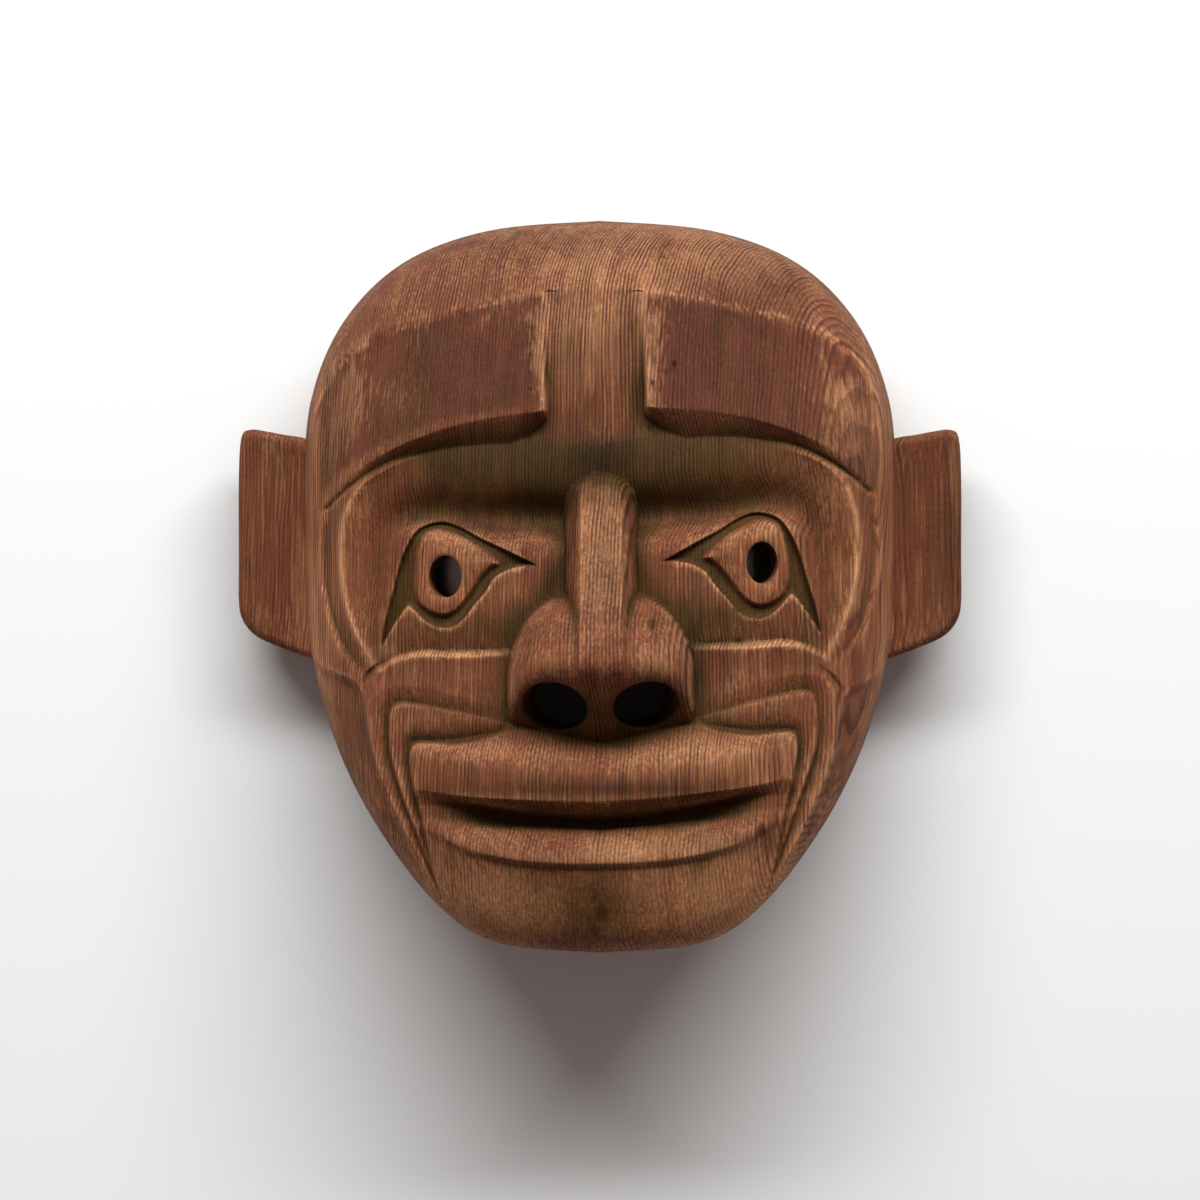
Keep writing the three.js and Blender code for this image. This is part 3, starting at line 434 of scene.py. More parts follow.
# Textures in the wood: the squeeze, the size in millimetres, and how fine and how rough they are
TEXTURES = {
    "fleck": ("flecks", 0.45, 3, 0.65), "uneven": ("wobble", 7, 3, 0.5),
    "blotch": ("wobble", 13, 5, 0.62), "streak": ("streaks", 1.1, 2, 0.6),
    "band": ("streaks", 5, 2, 0.5), "fibre": ("fibres", 0.55, 3, 0.6), "hatch": ("across", 0.45, 2, 0.5),
}
TEXTURE_SPAN = (0.3, 0.7)

# What a texture's low and high values become for the rings, the wear and the gloss, and how far each
# texture swings the tone either way
SHIFTS = {
    "ragged": ("fleck", -0.25, 0.25), "faint": ("uneven", 0.6, 1.4), "patchy": ("blotch", -0.35, 0.35),
    "rough": ("fleck", 0.7, 0.58),
}
TONES = {"fibre": 0.24, "fleck": 0.24, "streak": 0.08, "hatch": 0.08, "band": 0.08}
THROUGH = (0.35, 0.65, -0.2, 0.2)
PALE_TONE = (0.2, 1.8)
# How much standing edges add to the wear: wear and painted highlight
EDGE_WEAR_AND_HIGHLIGHT = 0.4
PLATE_UNWORN = 0.22
RELIEF_SHARE = 0.6

# Stage
FLOOR = -0.0002
FLOOR_SIDE = 8
FLOOR_COLOUR = "#e9ecec"
FLOOR_ROUGHNESS = 0.9
CAMERA_LENS = 122
CAMERA_HEIGHT = 1.6
CAMERA_Y = -0.007
KEY_SIZE = (3.4, 0.6)
KEY_POWER = 113
KEY_DISTANCE = 2.4
KEY_ELEVATION = 41.7
KEY_SIDE = 0.12
BEHIND_EYE = (0.04, 0.004, 0.045)
BEHIND_EYE_POWER = 0.005
BEHIND_EYE_CONE = 48
BEHIND_EYE_COLOUR = "#ffdcc8"
ROOM_COLOUR = "#ffe9e4"
ROOM_STRENGTH = 0.175


def ease(t):
    """Smooth step: 0 below 0, 1 above 1, and 3t^2 - 2t^3 between."""
    t = np.clip(t, 0, 1)
    return t * t * (3 - 2 * t)


def mix(a, b, t):
    """Straight blend from a at t = 0 to b at t = 1."""
    return a + (b - a) * t


def ease_between(rows, t):
    """Value at t of rows of a position and a value, by a smooth step from each row to the next."""
    value = rows[0][1]
    for (t0, _), (t1, following) in zip(rows, rows[1:]):
        value = mix(value, following, ease((t - t0) / (t1 - t0)))
    return value


def smooth_line(points, closed=False):
    """Catmull-Rom curve through the points, with CURVE_STEPS straight runs between each two."""
    p = np.array(points, float)
    if closed:
        p = np.vstack([p[-1:], p, p[:2]])
    before = np.vstack([p[:1], p[:-2]])
    after = np.vstack([p[2:], p[-1:]])
    a, b = p[:-1, None], p[1:, None]
    into, out_of = (b - before[:, None]) / 2, (after[:, None] - a) / 2
    t = np.arange(CURVE_STEPS)[:, None] / CURVE_STEPS
    spans = (2 * t**3 - 3 * t**2 + 1) * a + (t**3 - 2 * t**2 + t) * into
    spans = spans + (3 * t**2 - 2 * t**3) * b + (t**3 - t**2) * out_of
    if closed:
        return spans[1:-1].reshape(-1, 2)
    return np.vstack([spans.reshape(-1, 2), p[-1:]])


def look_up(line, t):
    """Second column of a line at t in its first column."""
    return np.interp(t, *np.asarray(line, float).T)


def curve_at(points, t):
    """Looks up the smooth line through points."""
    return look_up(smooth_line(points), t)


def spread(values, share):
    """Value at a share from 0 to 1 of a list spread evenly."""
    return np.interp(share, np.linspace(0, 1, len(values)), values)


def nearest(line, x, y):
    """Distance from each point to a line, whether it lies on the line's right hand, and how far along
    the line its nearest point is, as a share. Each straight run is measured to its clamped foot."""
    best = np.full(x.shape, np.inf)
    right = np.ones(x.shape, bool)
    along = np.zeros(x.shape)
    runs = np.diff(line, axis=0)
    lengths = np.hypot(*runs.T)
    starts = np.concatenate([[0.0], np.cumsum(lengths)])
    for (x0, y0), (dx, dy), length, start in zip(line, runs, lengths, starts):
        t = np.clip(((x - x0) * dx + (y - y0) * dy) / length**2, 0, 1)
        distance = np.hypot(x - x0 - t * dx, y - y0 - t * dy)
        closer = distance < best
        best = np.where(closer, distance, best)
        right = np.where(closer, (x - x0) * dy >= (y - y0) * dx, right)
        along = np.where(closer, start + t * length, along)
    return best, right, along / starts[-1]


def depth_inside(line, x, y):
    """Distance inside a closed line, negative outside, by the crossings of a ray along X."""
    inside = np.zeros(x.shape, bool)
    for (ax, ay), (bx, by) in zip(line, np.roll(line, 1, axis=0)):
        if ay != by:
            inside ^= ((ay > y) != (by > y)) & (x < (bx - ax) * (y - ay) / (by - ay) + ax)
    distance = nearest(np.vstack([line, line[:1]]), x, y)[0]
    return np.where(inside, distance, -distance)


def near_line(form, line, reach, x, y):
    """Works out form(x, y) only for the points in the line's box grown by reach. It is 0 elsewhere."""
    low, high = line.min(0) - reach, line.max(0) + reach
    close = (x > low[0]) & (x < high[0]) & (y > low[1]) & (y < high[1])
    result = np.zeros(x.shape)
    result[close] = form(x[close], y[close])
    return result


def by_line(points, form, span, x, y):
    """Works out form(distance, right, along) within a span of a line through points, and 0 beyond."""
    line = smooth_line(points)
    return near_line(lambda a, b: form(*nearest(line, a, b)), line, span, x, y)


def side_of(pair, right):
    """First of a pair on a line's left hand, second on its right."""
    return np.where(right, pair[1], pair[0])


def within(points, x, y):
    """1 inside a closed line through points, and 0 outside."""
    line = smooth_line(points, closed=True)
    return near_line(lambda a, b: depth_inside(line, a, b) > 0, line, 1, x, y)


half_outline = smooth_line(OUTLINE)
outline_radius = np.column_stack([np.arctan2(*half_outline.T), np.hypot(*half_outline.T)])


def outline_at(share):
    """Point of the outline at a share of the way round, from the right side over the crown, with its
    distance from the middle and the sine of its direction."""
    length = np.concatenate([[0.0], np.cumsum(np.hypot(*np.diff(half_outline, axis=0).T))])
    turn = (share + 0.25) % 1 - 0.5
    at = np.abs(turn) * 2 * length[-1]
    x, y = [np.interp(at, length, column) for column in half_outline.T]
    radius = np.hypot(x, y)
    return np.where(turn > 0, -x, x), y, radius, y / radius


def dome_height(share, sine):
    """Superellipse from the crown's height down to the widest level, at a share of the way out."""
    edge = curve_at(WIDEST_LEVEL, sine)
    power = curve_at(ROUNDNESS, sine)
    return edge + (CROWN_HEIGHT - edge) * np.maximum(1 - share**power, 0) ** (1 / power)


def dome_at(x, y):
    """Height of the uncut dome over a point."""
    radius = np.maximum(np.hypot(x, y), 1e-6)
    edge = look_up(outline_radius, np.arctan2(np.abs(x), y))
    return dome_height(np.minimum(radius / edge, 1), y / radius)


def cut_depth(cut, out, up):
    """Depth of a cut line: full on the line, falling to 0 at its reach by a power of the distance."""
    left, right = cut["reach"]

    def form(distance, on_right, along):
        reach = side_of((spread(left, along), spread(right, along)), on_right)
        bend = side_of(cut["bend"], on_right)
        return spread(cut["depth"], along) * np.maximum(1 - distance / reach, 0) ** bend

    return by_line(cut["line"], form, max(left + right), out, up)


def cove_depth(out, up):
    """Cove under the brow and down the outer side of the eye: a bell curve across its line."""
    line = smooth_line(COVE)

    def form(a, b):
        distance, right, _ = nearest(line, a, b)
        reach = side_of((look_up(COVE_REACH_UP, a), look_up(COVE_REACH_DOWN, a)), right)
        depth = look_up(COVE_DEPTH, a) * look_up(COVE_FADE, b)
        return depth * np.exp(-COVE_FALL * (distance / reach) ** 2)

    return near_line(form, line, COVE_SPAN, out, up)


def eye_pad(out, up):
    """Raised pad that carries the eye, flat on top and falling away by fourth powers."""
    across = (out - EYE_PAD["middle"][0]) / EYE_PAD["reach"][0]
    along = (up - EYE_PAD["middle"][1]) / EYE_PAD["reach"][1]
    return EYE_PAD["height"] * np.exp(-(across**4) - along**4)


def crest_height(crest, out, up):
    """Crest along a line, falling away exponentially on either side."""
    def form(distance, right, along):
        return spread(crest["height"], along) * np.exp(-distance / side_of(crest["reach"], right))

    return by_line(crest["line"], form, crest["span"], out, up)


def jaw_depth(out, up):
    """Jaw's side, set back behind the temple and the cheek: a ramp across its edge that then fades."""
    def form(distance, right, along):
        behind = np.where(right, -distance, distance) / JAW_EDGE["rise"]
        beyond = np.maximum(distance - JAW_EDGE["rise"], 0) / JAW_EDGE["reach"]
        ramp = np.clip(behind + JAW_EDGE["start"], 0, 1)
        return spread(JAW_EDGE["depth"], along) * ramp * np.exp(-beyond)

    return by_line(JAW_EDGE["line"], form, JAW_EDGE["span"], out, up)


def cheek_step(out, up):
    """Step across the cheek, proud below its line and set back above it, fading both ways."""
    def form(distance, right, along):
        step = np.minimum(distance / CHEEK_STEP["rise"], 1) * np.where(right, -1, 1)
        beyond = np.maximum(distance - CHEEK_STEP["rise"], 0) / side_of(CHEEK_STEP["reach"], right)
        return spread(CHEEK_STEP["height"], along) * step * np.exp(-beyond)

    return by_line(CHEEK_STEP["line"], form, CHEEK_STEP["span"], out, up)


def eye_relief(out, up, hand):
    """Sunk eye opening, with the eyeball standing in it: a ramp at its edge, then a shallow dome."""
    opening = smooth_line(EYE_OPENING, closed=True)
    ball = smooth_line(EYEBALL, closed=True) + [RIGHT_EYEBALL_SHIFT * (hand > 0), 0]

    def form(a, b):
        sunk = EYE_DEPTH * ease(depth_inside(opening, a, b) / LID_WIDTH)
        in_ball = np.maximum(depth_inside(ball, a, b), 0)
        edge = EYEBALL_EDGE_HEIGHT * np.clip(in_ball / EYEBALL_EDGE_WIDTH, 0, 1)
        dome = EYEBALL_DOME_HEIGHT * (1 - np.exp(-in_ball / EYEBALL_DOME_REACH))
        return edge + dome - sunk

    return near_line(form, opening, 1, out, up)


def straight(t):
    """No easing."""
    return t


def rounded(t):
    """Quarter sine, to a power that fills the start a little less."""
    return np.sin(t * np.pi / 2) ** 1.15


# The lips' levels from the upper lip's top edge down to the chin: the line and a shift from it, the
# relief there in the middle and at the corners, and the easing of the run into it
LIP_PROFILE = [
    (LIP_TOP, 0.6, 0, 0, straight),
    (LIP_TOP, -0.8, 1.6, 1.2, straight),
    (LIP_CREST, 0, 9.6, 2.6, rounded),
    (LIP_EDGE, 0, 9.2, 2.6, ease),
    (MOUTH, 2.8, 4.8, 1.2, straight),
    (MOUTH, 0, -5.5, -2, straight),
    (LOWER_LIP_TOP, 0, -3, -1.5, straight),
    (LOWER_LIP_CREST, 0, 9.2, 1, rounded),
    (LOWER_LIP_CREST, -3.4, 6.8, 0.4, ease),
    (LOWER_LIP_CREST, -32, 0, 0, straight),
]


def lip_relief(out, up):
    """Relief between each two levels, eased from one to the next down the face, fading out beyond the
    mouth's corners. The slit closes a little before them."""
    relief = np.zeros(out.shape)
    corner = ease_between(LIP_CORNER, out)
    open_slit = ease_between(SLIT_END, out)
    above = None
    for line, shift, middle, end, easing in LIP_PROFILE:
        level = curve_at(line, out) + shift
        height = mix(middle, end, corner)
        height = np.where(height < 0, height * open_slit, height)
        if above is not None:
            upper_level, upper_height = above
            t = np.clip((upper_level - up) / (upper_level - level), 0, 1)
            between = (up <= upper_level) & (up > level)
            relief = np.where(between, mix(upper_height, height, easing(t)), relief)
        above = (level, height)
    return relief * ease_between(LIP_END, out)


def with_brow(height, dome, out, x, y, lean):
    """Brow plates: straight chords from the crown's arris to a foot set back under the dome, ended by a
    wall over the socket and a step beside the middle strip."""
    top = curve_at(BROW_TOP, out)
    bottom = curve_at(BROW_BOTTOM, out) + BROW_LEAN * lean * x
    foot = dome_at(x, bottom) - ease_between(BROW_SET_BACK, out)
    plate = mix(dome_at(x, top), foot, (top - y) / (top - bottom))
    wall_width = look_up(BROW_WALL_WIDTH, out)
    wall = np.clip((y - bottom + wall_width) / wall_width, 0, 1)
    inner_end = ease((out - BROW_INNER_END) / BROW_INNER_SLOPE)
    ends = inner_end * ease((BROW_OUTER_END - out) / BROW_OUTER_FADE)
    below_top = mix(height, plate, wall * ends)
    return np.where(y < top, below_top, mix(height, dome, ease_between(CROWN_ARRIS, out)))


def blend(a, b, width, sign):
    """Larger (sign 1) or smaller (sign -1) of two heights, rounded over a width where they meet."""
    t = np.clip(0.5 + sign * (a - b) / (2 * width), 0, 1)
    return mix(b, a, t) + sign * width * t * (1 - t)


def nose_height(x, y):
    """Flat-topped bridge with steep sides, joined to a superellipse lobe on each side, and cut below by
    a slanting underside."""
    out = np.abs(x - BRIDGE_MIDDLE)
    half = curve_at(BRIDGE_HALF_WIDTH, y)
    beyond = np.maximum(out - half, 0)
    past = np.maximum(beyond - BRIDGE_SIDE_WIDTH, 0)
    crown = BRIDGE_CROWN * np.minimum(out / half, 1) ** 2
    side = BRIDGE_SIDE_SLOPE * (beyond - past) + BRIDGE_FOOT_SLOPE * past
    bridge = curve_at(BRIDGE_HEIGHT, y) - crown - side
    across = np.maximum(out - LOBE_FLAT, 0) / LOBE_REACH
    along = np.abs(y - LOBE_MIDDLE) / np.where(y > LOBE_MIDDLE, LOBE_UP, LOBE_DOWN)
    t = across**LOBE_ROUNDNESS + along**LOBE_ROUNDNESS
    lobe = LOBE_BASE + LOBE_HEIGHT * np.maximum(1 - t, 0) ** (1 / LOBE_ROUNDNESS)
    lobe = np.where(t < 1, lobe, 0)
    slant = y - UNDERSIDE_EDGE - UNDERSIDE_SWEEP * out
    under = UNDERSIDE_HEIGHT + UNDERSIDE_SLOPE * slant
    nose = blend(blend(bridge, lobe, LOBE_BLEND, 1), under, UNDERSIDE_BLEND, -1)
    return np.where(y > BRIDGE_TOP, 0, nose)


def face_height(x, y, dome):
    """Height of the carved face: the dome less its sunk middle, the cuts and the raised forms."""
    out = np.abs(x - look_up(FACE_MIDDLE, y))
    lean = FACE_LEAN * ease_between(LEAN_FADE, y)
    up = y - lean * x
    jaw_up = np.where(x > 0, y + JAW_DROP * ease_between(JAW_DROP_FADE, y), y)
    sunk = curve_at(FACE_DEPTH, up) * np.clip(1 - (out / FACE_HALF_WIDTH) ** FACE_FALL, 0, 1)
    raised = eye_pad(out, up) + crest_height(SOCKET_RIM, out, up) + crest_height(JAW_RIDGE, out, jaw_up)
    eyes = np.where(x > 0, eye_relief(out, up, 1), eye_relief(out, up, -1))
    raised = raised + cheek_step(out, up) + eyes + lip_relief(out, up)
    cuts = cove_depth(out, up) + jaw_depth(out, jaw_up) + cut_depth(TEMPLE_NOTCH, out, jaw_up)
    for line in (BROW_CHANNEL, TEMPLE_GROOVE, OUTER_FOLD, INNER_FOLD):
        cuts = cuts + cut_depth(line, out, up)
    carved = dome - sunk - cuts + raised
    return np.maximum(with_brow(carved, dome, out, x, y, lean), nose_height(x, y))


def smooth_field(seed, lengths, x, y):
    """Seeded random heights on a 1 mm grid over the face, blurred by bell curves of two lengths along
    X and Y, scaled to unit spread and read between the grid's points."""
    field = np.random.default_rng(seed).normal(size=(FIELD_SIZE, FIELD_SIZE))
    waves = np.fft.fftfreq(FIELD_SIZE)
    blur = np.exp(-2 * ((waves * lengths[0]) ** 2 + (waves[:, None] * lengths[1]) ** 2))
    field = np.fft.ifft2(np.fft.fft2(field) * blur).real
    field /= field.std()
    return read_grid(field, FIELD_SIZE / 2, x, y)


def read_grid(grid, reach, x, y):
    """Value of a 1 mm grid that starts at minus its reach, by straight blends between its points."""
    column, row = [np.clip(place + reach, 0, len(grid) - 1.001) for place in (x, y)]
    i, j = column.astype(int), row.astype(int)
    s, t = column - i, row - j
    low = mix(grid[j, i], grid[j, i + 1], s)
    return mix(low, mix(grid[j + 1, i], grid[j + 1, i + 1], s), t)


def hole_easing(x, y, height):
    """Depth by which the surface rolls in at the rim of each hole: it falls off exponentially with the
    distance outside the hole's ellipse at that height."""
    eased = np.zeros(x.shape)
    for front, back, reach in PUPILS + NOSTRILS:
        share = (height - front[2]) / (back[2] - front[2])
        dx = (x - mix(front[0], back[0], share)) / reach[0]
        dy = (y - mix(front[1], back[1], share)) / reach[1]
        outside = np.maximum(np.hypot(dx, dy) - 1, 0) * min(reach)
        eased = np.maximum(eased, HOLE_EASE_DEPTH * np.exp(-outside / HOLE_EASE_WIDTH))
    return eased


def head_surface():
    """Head over the square from -1 to 1: square rings of it become rings of the outline. The inner
    rings cover the dome and the outer ones the wall down to the back rim. A fan closes the underside."""
    size = GRID_STEPS + 1
    lines = np.linspace(-1, 1, size)
    b, a = np.meshgrid(lines, lines, indexing="ij")
    ring = np.maximum(np.abs(a), np.abs(b))
    safe = np.maximum(ring, 1e-9)
    along_side, along_end = b / safe / 8, a / safe / 8
    at_side = np.where(a < 0, 0.5 - along_side, along_side)
    at_end = np.where(b > 0, 0.25 - along_end, 0.75 + along_end)
    share = np.where(np.abs(b) > np.abs(a), at_end, at_side)
    edge_x, edge_y, radius, sine = outline_at(share)
    reach = np.minimum(ring / DOME_SHARE, 1)
    part = (1 + RING_CROWDING) * reach - RING_CROWDING * reach**5
    x, y = edge_x * part, edge_y * part
    height = face_height(x, y, dome_height(part, sine))
    waves = KNIFE_WAVE * (smooth_field(KNIFE_SEED, KNIFE_WAVE_LENGTH, x, y) - KNIFE_SINK)
    height = height + waves * ease((1 - part) / KNIFE_FADE) - hole_easing(x, y, height)
    down = np.clip((ring - DOME_SHARE) / (1 - DOME_SHARE), 0, 1)
    inset = 1 - curve_at(WALL_TAPER, sine) * down**2 / radius
    points = np.stack([x * inset, y * inset, height * (1 - down)], axis=-1).reshape(-1, 3)

    last = GRID_STEPS
    steps = np.arange(last)
    c00 = (steps[:, None] * size + steps).ravel()
    c01, c10, c11 = c00 + 1, c00 + size, c00 + size + 1
    z = points[:, 2]
    along = np.abs(z[c00] - z[c11]) < np.abs(z[c01] - z[c10])
    one = np.stack([c00, c01, np.where(along, c11, c10)], 1)
    two = np.stack([np.where(along, c00, c01), c11, c10], 1)
    rim = np.concatenate([steps, steps * size + last, last * size + last - steps, (last - steps) * size])
    fan = np.stack([np.roll(rim, -1), rim, np.full(rim.shape, len(points))], 1)
    return np.vstack([points, [0, 0, 0]]), np.vstack([one, two, fan])


def stack_surface(rings):
    """Closed surface through a stack of rings of points, from the top one to the bottom one. Each end
    is closed by a fan to its middle."""
    layers, count, _ = rings.shape
    points = np.vstack([rings.reshape(-1, 3), rings[0].mean(0), rings[-1].mean(0)])
    here = np.arange(count)
    following = np.roll(here, -1)
    start = (np.arange(layers - 1) * count)[:, None]
    a, b = (start + here).ravel(), (start + following).ravel()
    c, d = a + count, b + count
    sides = np.vstack([np.stack([a, c, b], 1), np.stack([b, c, d], 1)])
    top = np.stack([here, following, np.full(count, layers * count)], 1)
    last = (layers - 1) * count
    bottom = np.stack([last + following, last + here, np.full(count, layers * count + 1)], 1)
    return points, np.vstack([sides, top, bottom])


def hollow_surface():
    """Hollow behind the face: superellipse rings that shrink towards its top, scooped by a gouge in
    staggered rows, each scoop a shallow bowl that only takes wood away."""
    edge_x, edge_y, radius, sine = outline_at(np.arange(HOLLOW_SIDES) / HOLLOW_SIDES)
    power = curve_at(HOLLOW_ROUNDNESS, sine)
    rise = np.sin(np.linspace(1, 0, HOLLOW_LAYERS)[:, None] * np.pi / 2)
    reach = np.maximum(1 - rise**power, 0) ** (1 / power)
    inner = (radius - curve_at(WALL_TAPER, sine) - RIM_WIDTH) * np.maximum(reach, HOLLOW_TIP)
    x, y = edge_x / radius * inner, edge_y / radius * inner
    z = HOLLOW_HEIGHT * rise + 0 * x

    row = x / SCOOP_WIDTH + SCOOP_DRIFT * smooth_field(SCOOP_SEED, SCOOP_DRIFT_LENGTH, x, y)
    stray = SCOOP_STRAY * np.sin(SCOOP_STRAY_TURN * np.floor(row))
    stagger = SCOOP_STAGGER * (np.floor(row) % 2) + stray
    along = (y + SCOOP_CLIMB * z) / SCOOP_LENGTH + stagger
    across_bowl = 1 - (2 * (row % 1) - 1) ** 2
    along_bowl = 1 - (2 * (along % 1) - 1) ** 4
    scoop = SCOOP_DEPTH * across_bowl * along_bowl * ease(z / SCOOP_FADE)
    outward = np.stack([x / (inner + SCOOP_AIM), y / (inner + SCOOP_AIM), rise + 0 * x], axis=-1)
    outward /= np.linalg.norm(outward, axis=-1, keepdims=True)
    rings = np.stack([x, y, z], axis=-1) + scoop[..., None] * outward
    foot = rings[-1:] * [1, 1, 0] - [0, 0, HOLLOW_OVERCUT]
    return stack_surface(np.vstack([rings, foot]))


def hole_surface(front, back, reach):
    """Slanting hole with an elliptical section."""
    turn = 2 * np.pi * np.arange(HOLE_SIDES) / HOLE_SIDES
    ring = np.stack([reach[0] * np.cos(turn), reach[1] * np.sin(turn), 0 * turn], 1)
    return stack_surface(np.linspace(front, back, HOLE_LAYERS)[:, None] + ring)


def ear_surface(hand):
    """Ear: its outline drawn in towards its middle. The edge is a quarter round above and below, and
    the face between is dished by a power of the share of the way out."""
    outline = smooth_line(EAR_OUTLINE)[::2]
    if hand > 0:
        outline = outline[::-1]
    away = outline - EAR_MIDDLE
    edge = EAR_EDGE * ease_between(EAR_ROOT, outline[:, 0]) / np.hypot(*away.T)
    quarter = np.linspace(0, np.pi / 2, EAR_EDGE_LAYERS)
    layers = []
    for share in np.linspace(*EAR_FACE_SHARES):
        layers.append((share * (1 - edge), EAR_TOP - EAR_DISH * (1 - share**EAR_DISH_POWER)))
    for level, sign, angles in ((EAR_TOP, -1, quarter[1:]), (EAR_UNDERSIDE, 1, quarter[::-1])):
        for angle in angles:
            kept = 1 - edge * (1 - math.sin(angle))
            layers.append((kept, level + sign * EAR_EDGE * (1 - math.cos(angle))))
    rings = [np.column_stack([EAR_MIDDLE + away * kept[:, None], z + 0 * kept]) for kept, z in layers]
    return stack_surface(np.array(rings) * [hand, 1, 1])


def put(name, data, location=(0, 0, 0), rotation=(0, 0, 0)):
    """Object in the scene, made from a mesh, a lamp or a camera."""
    thing = bpy.data.objects.new(name, data)
    thing.location = location
    thing.rotation_euler = rotation
    bpy.context.scene.collection.objects.link(thing)
    return thing


def make_piece(name, surface):
    """Mesh object of triangles, with millimetres about the carving's middle turned into metres."""
    points, triangles = surface
    mesh = bpy.data.meshes.new(name)
    mesh.vertices.add(len(points))
    mesh.vertices.foreach_set("co", ((points - [0, ORIGIN_Y, 0]) * MM).astype(np.float32).ravel())
    mesh.loops.add(triangles.size)
    mesh.loops.foreach_set("vertex_index", triangles.astype(np.int32).ravel())
    mesh.polygons.add(len(triangles))
    mesh.polygons.foreach_set("loop_start", np.arange(0, triangles.size, 3, dtype=np.int32))
    mesh.update(calc_edges=True)
    return put(name, mesh)


def points_of(mesh):
    """Places of a mesh's points, in metres."""
    place = np.empty(len(mesh.vertices) * 3, np.float32)
    mesh.vertices.foreach_get("co", place)
    return place.reshape(-1, 3)


def settle(piece):
    """Replaces a piece's mesh by the result of its modifiers, and removes them."""
    graph = bpy.context.evaluated_depsgraph_get()
    mesh = bpy.data.meshes.new_from_object(piece.evaluated_get(graph))
    piece.modifiers.clear()
    old, piece.data = piece.data, mesh
    bpy.data.meshes.remove(old)


def carve(piece, tool, operation):
    """Joins a tool's form to a piece or cuts it away, and removes the tool."""
    cut = piece.modifiers.new("carve", "BOOLEAN")
    cut.operation = operation
    cut.object = tool
    cut.solver = "MANIFOLD"
    settle(piece)
    bpy.data.meshes.remove(tool.data)


def blurred(grid, width):
    """Grid smoothed both ways by a bell curve of a width in its own steps, with its edges repeated."""
    reach = int(3 * width)
    bell = np.exp(-0.5 * (np.arange(-reach, reach + 1) / width) ** 2)
    bell /= bell.sum()
    grid = np.pad(grid, reach, mode="edge")
    for _ in (0, 1):
        rows = len(grid) - 2 * reach
        grid = sum(part * grid[i:i + rows] for i, part in enumerate(bell)).T
    return grid


def soft_spots(spots, x, y):
    """Sum of soft ellipses, each its amount times exp of minus the squared share of its reach."""
    total = np.zeros(x.shape)
    for middle_x, middle_y, reach_x, reach_y, amount in spots:
        total += amount * np.exp(-((x - middle_x) / reach_x) ** 2 - ((y - middle_y) / reach_y) ** 2)
    return total


def beside(points, width, x, y):
    """1 on a line, falling off as a bell curve of a width to either side."""
    def form(distance, right, along):
        return np.exp(-((distance / width) ** 2))

    return by_line(points, form, 3 * width, x, y)


def mark_patina(piece):
    """Numbers from 0 to 1 at each point, for the finish: the recess mark, where the face lies below its
    blurred self, for olive stain and painted shade; edge, where it stands above a less blurred self, for
    wear and painted highlight; plate, the brow plates; the wear, olive and tone marks and grain, sums of
    soft ellipses that hold stain and wear and also painted light and shade, the tone and grain about a
    middle of a half; and inside, the hollow and the holes."""
    x, y, z = (points_of(piece.data) / MM + [0, ORIGIN_Y, 0]).T
    radius = np.maximum(np.hypot(x, y), 1e-6)
    outline = look_up(outline_radius, np.arctan2(np.abs(x), y))

    steps = np.arange(-MAP_REACH, MAP_REACH + 1.0)
    grid_x, grid_y = np.meshgrid(steps, steps)
    face = face_height(grid_x, grid_y, dome_at(grid_x, grid_y))
    levels = {0: read_grid(face, MAP_REACH, x, y)}
    for width in (RECESS_WIDTH, CREASE_WIDTH, EDGE_WIDTH):
        levels[width] = read_grid(blurred(face, width), MAP_REACH, x, y)
    # Olive stain and painted shade where the face lies below its blurred self, broadly and in creases
    broad = (levels[RECESS_WIDTH] - z) / RECESS_DEPTH
    narrow = (levels[CREASE_WIDTH] - z) / CREASE_DEPTH

    out = np.abs(x - look_up(FACE_MIDDLE, y))
    up = y - FACE_LEAN * x
    below_top = curve_at(BROW_TOP, out) - y
    above_foot = y - curve_at(BROW_BOTTOM, out)
    gaps = (below_top, above_foot, out - BROW_INNER_END, BROW_OUTER_END - out)
    on_plate = math.prod(ease(gap / fade) for gap, fade in zip(gaps, PLATE_FADES))
    on_face = ease((1 - radius / outline) / FACE_FADE) * (z > curve_at(WIDEST_LEVEL, y / radius) - 1)
    # Wear and painted highlight along the rubbed, lit edges
    rubbed_and_lit = sum(beside(points, width, out, up) for points, width in RUBBED_AND_LIT_EDGES)
    ball = within(EYEBALL, out - RIGHT_EYEBALL_SHIFT * (x > 0), up)
    lid = within(EYE_OPENING, out, up) * (1 - ball)
    rim = curve_at(WALL_TAPER, y / radius) + RIM_WIDTH / 2
    inside = ease((levels[0] - z - INSIDE_START) / INSIDE_FADE) * (radius < outline - rim)
    marks = {
        "recess_stain_and_shade": np.maximum(broad, CREASE_SHARE * narrow) * on_face,
        "plate": on_plate * (z > PLATE_LEVEL),
        "edge": (z - levels[EDGE_WIDTH]) / EDGE_HEIGHT * on_face,
        "worn_and_lit": (soft_spots(WORN_AND_LIT, x, y) + RUBBED_WEAR_AND_HIGHLIGHT * rubbed_and_lit) * (z > WORN_LEVEL),
        "olive_and_shade": (soft_spots(OLIVE_STAIN_AND_SHADE, x, y) + LID_OLIVE_AND_SHADE * lid) * on_face,
        "tone_light_and_shade": 0.5 + 0.5 * soft_spots(PALE_LIGHT_AND_SHADE, x, y) * (1 - inside),
        "grain": 0.5 + 0.5 * soft_spots(GRAIN, x, y),
        "inside": inside,
    }
    for name, values in marks.items():
        layer = piece.data.attributes.new(name, "FLOAT", "POINT")
        layer.data.foreach_set("value", np.clip(values, 0, 1).astype(np.float32))


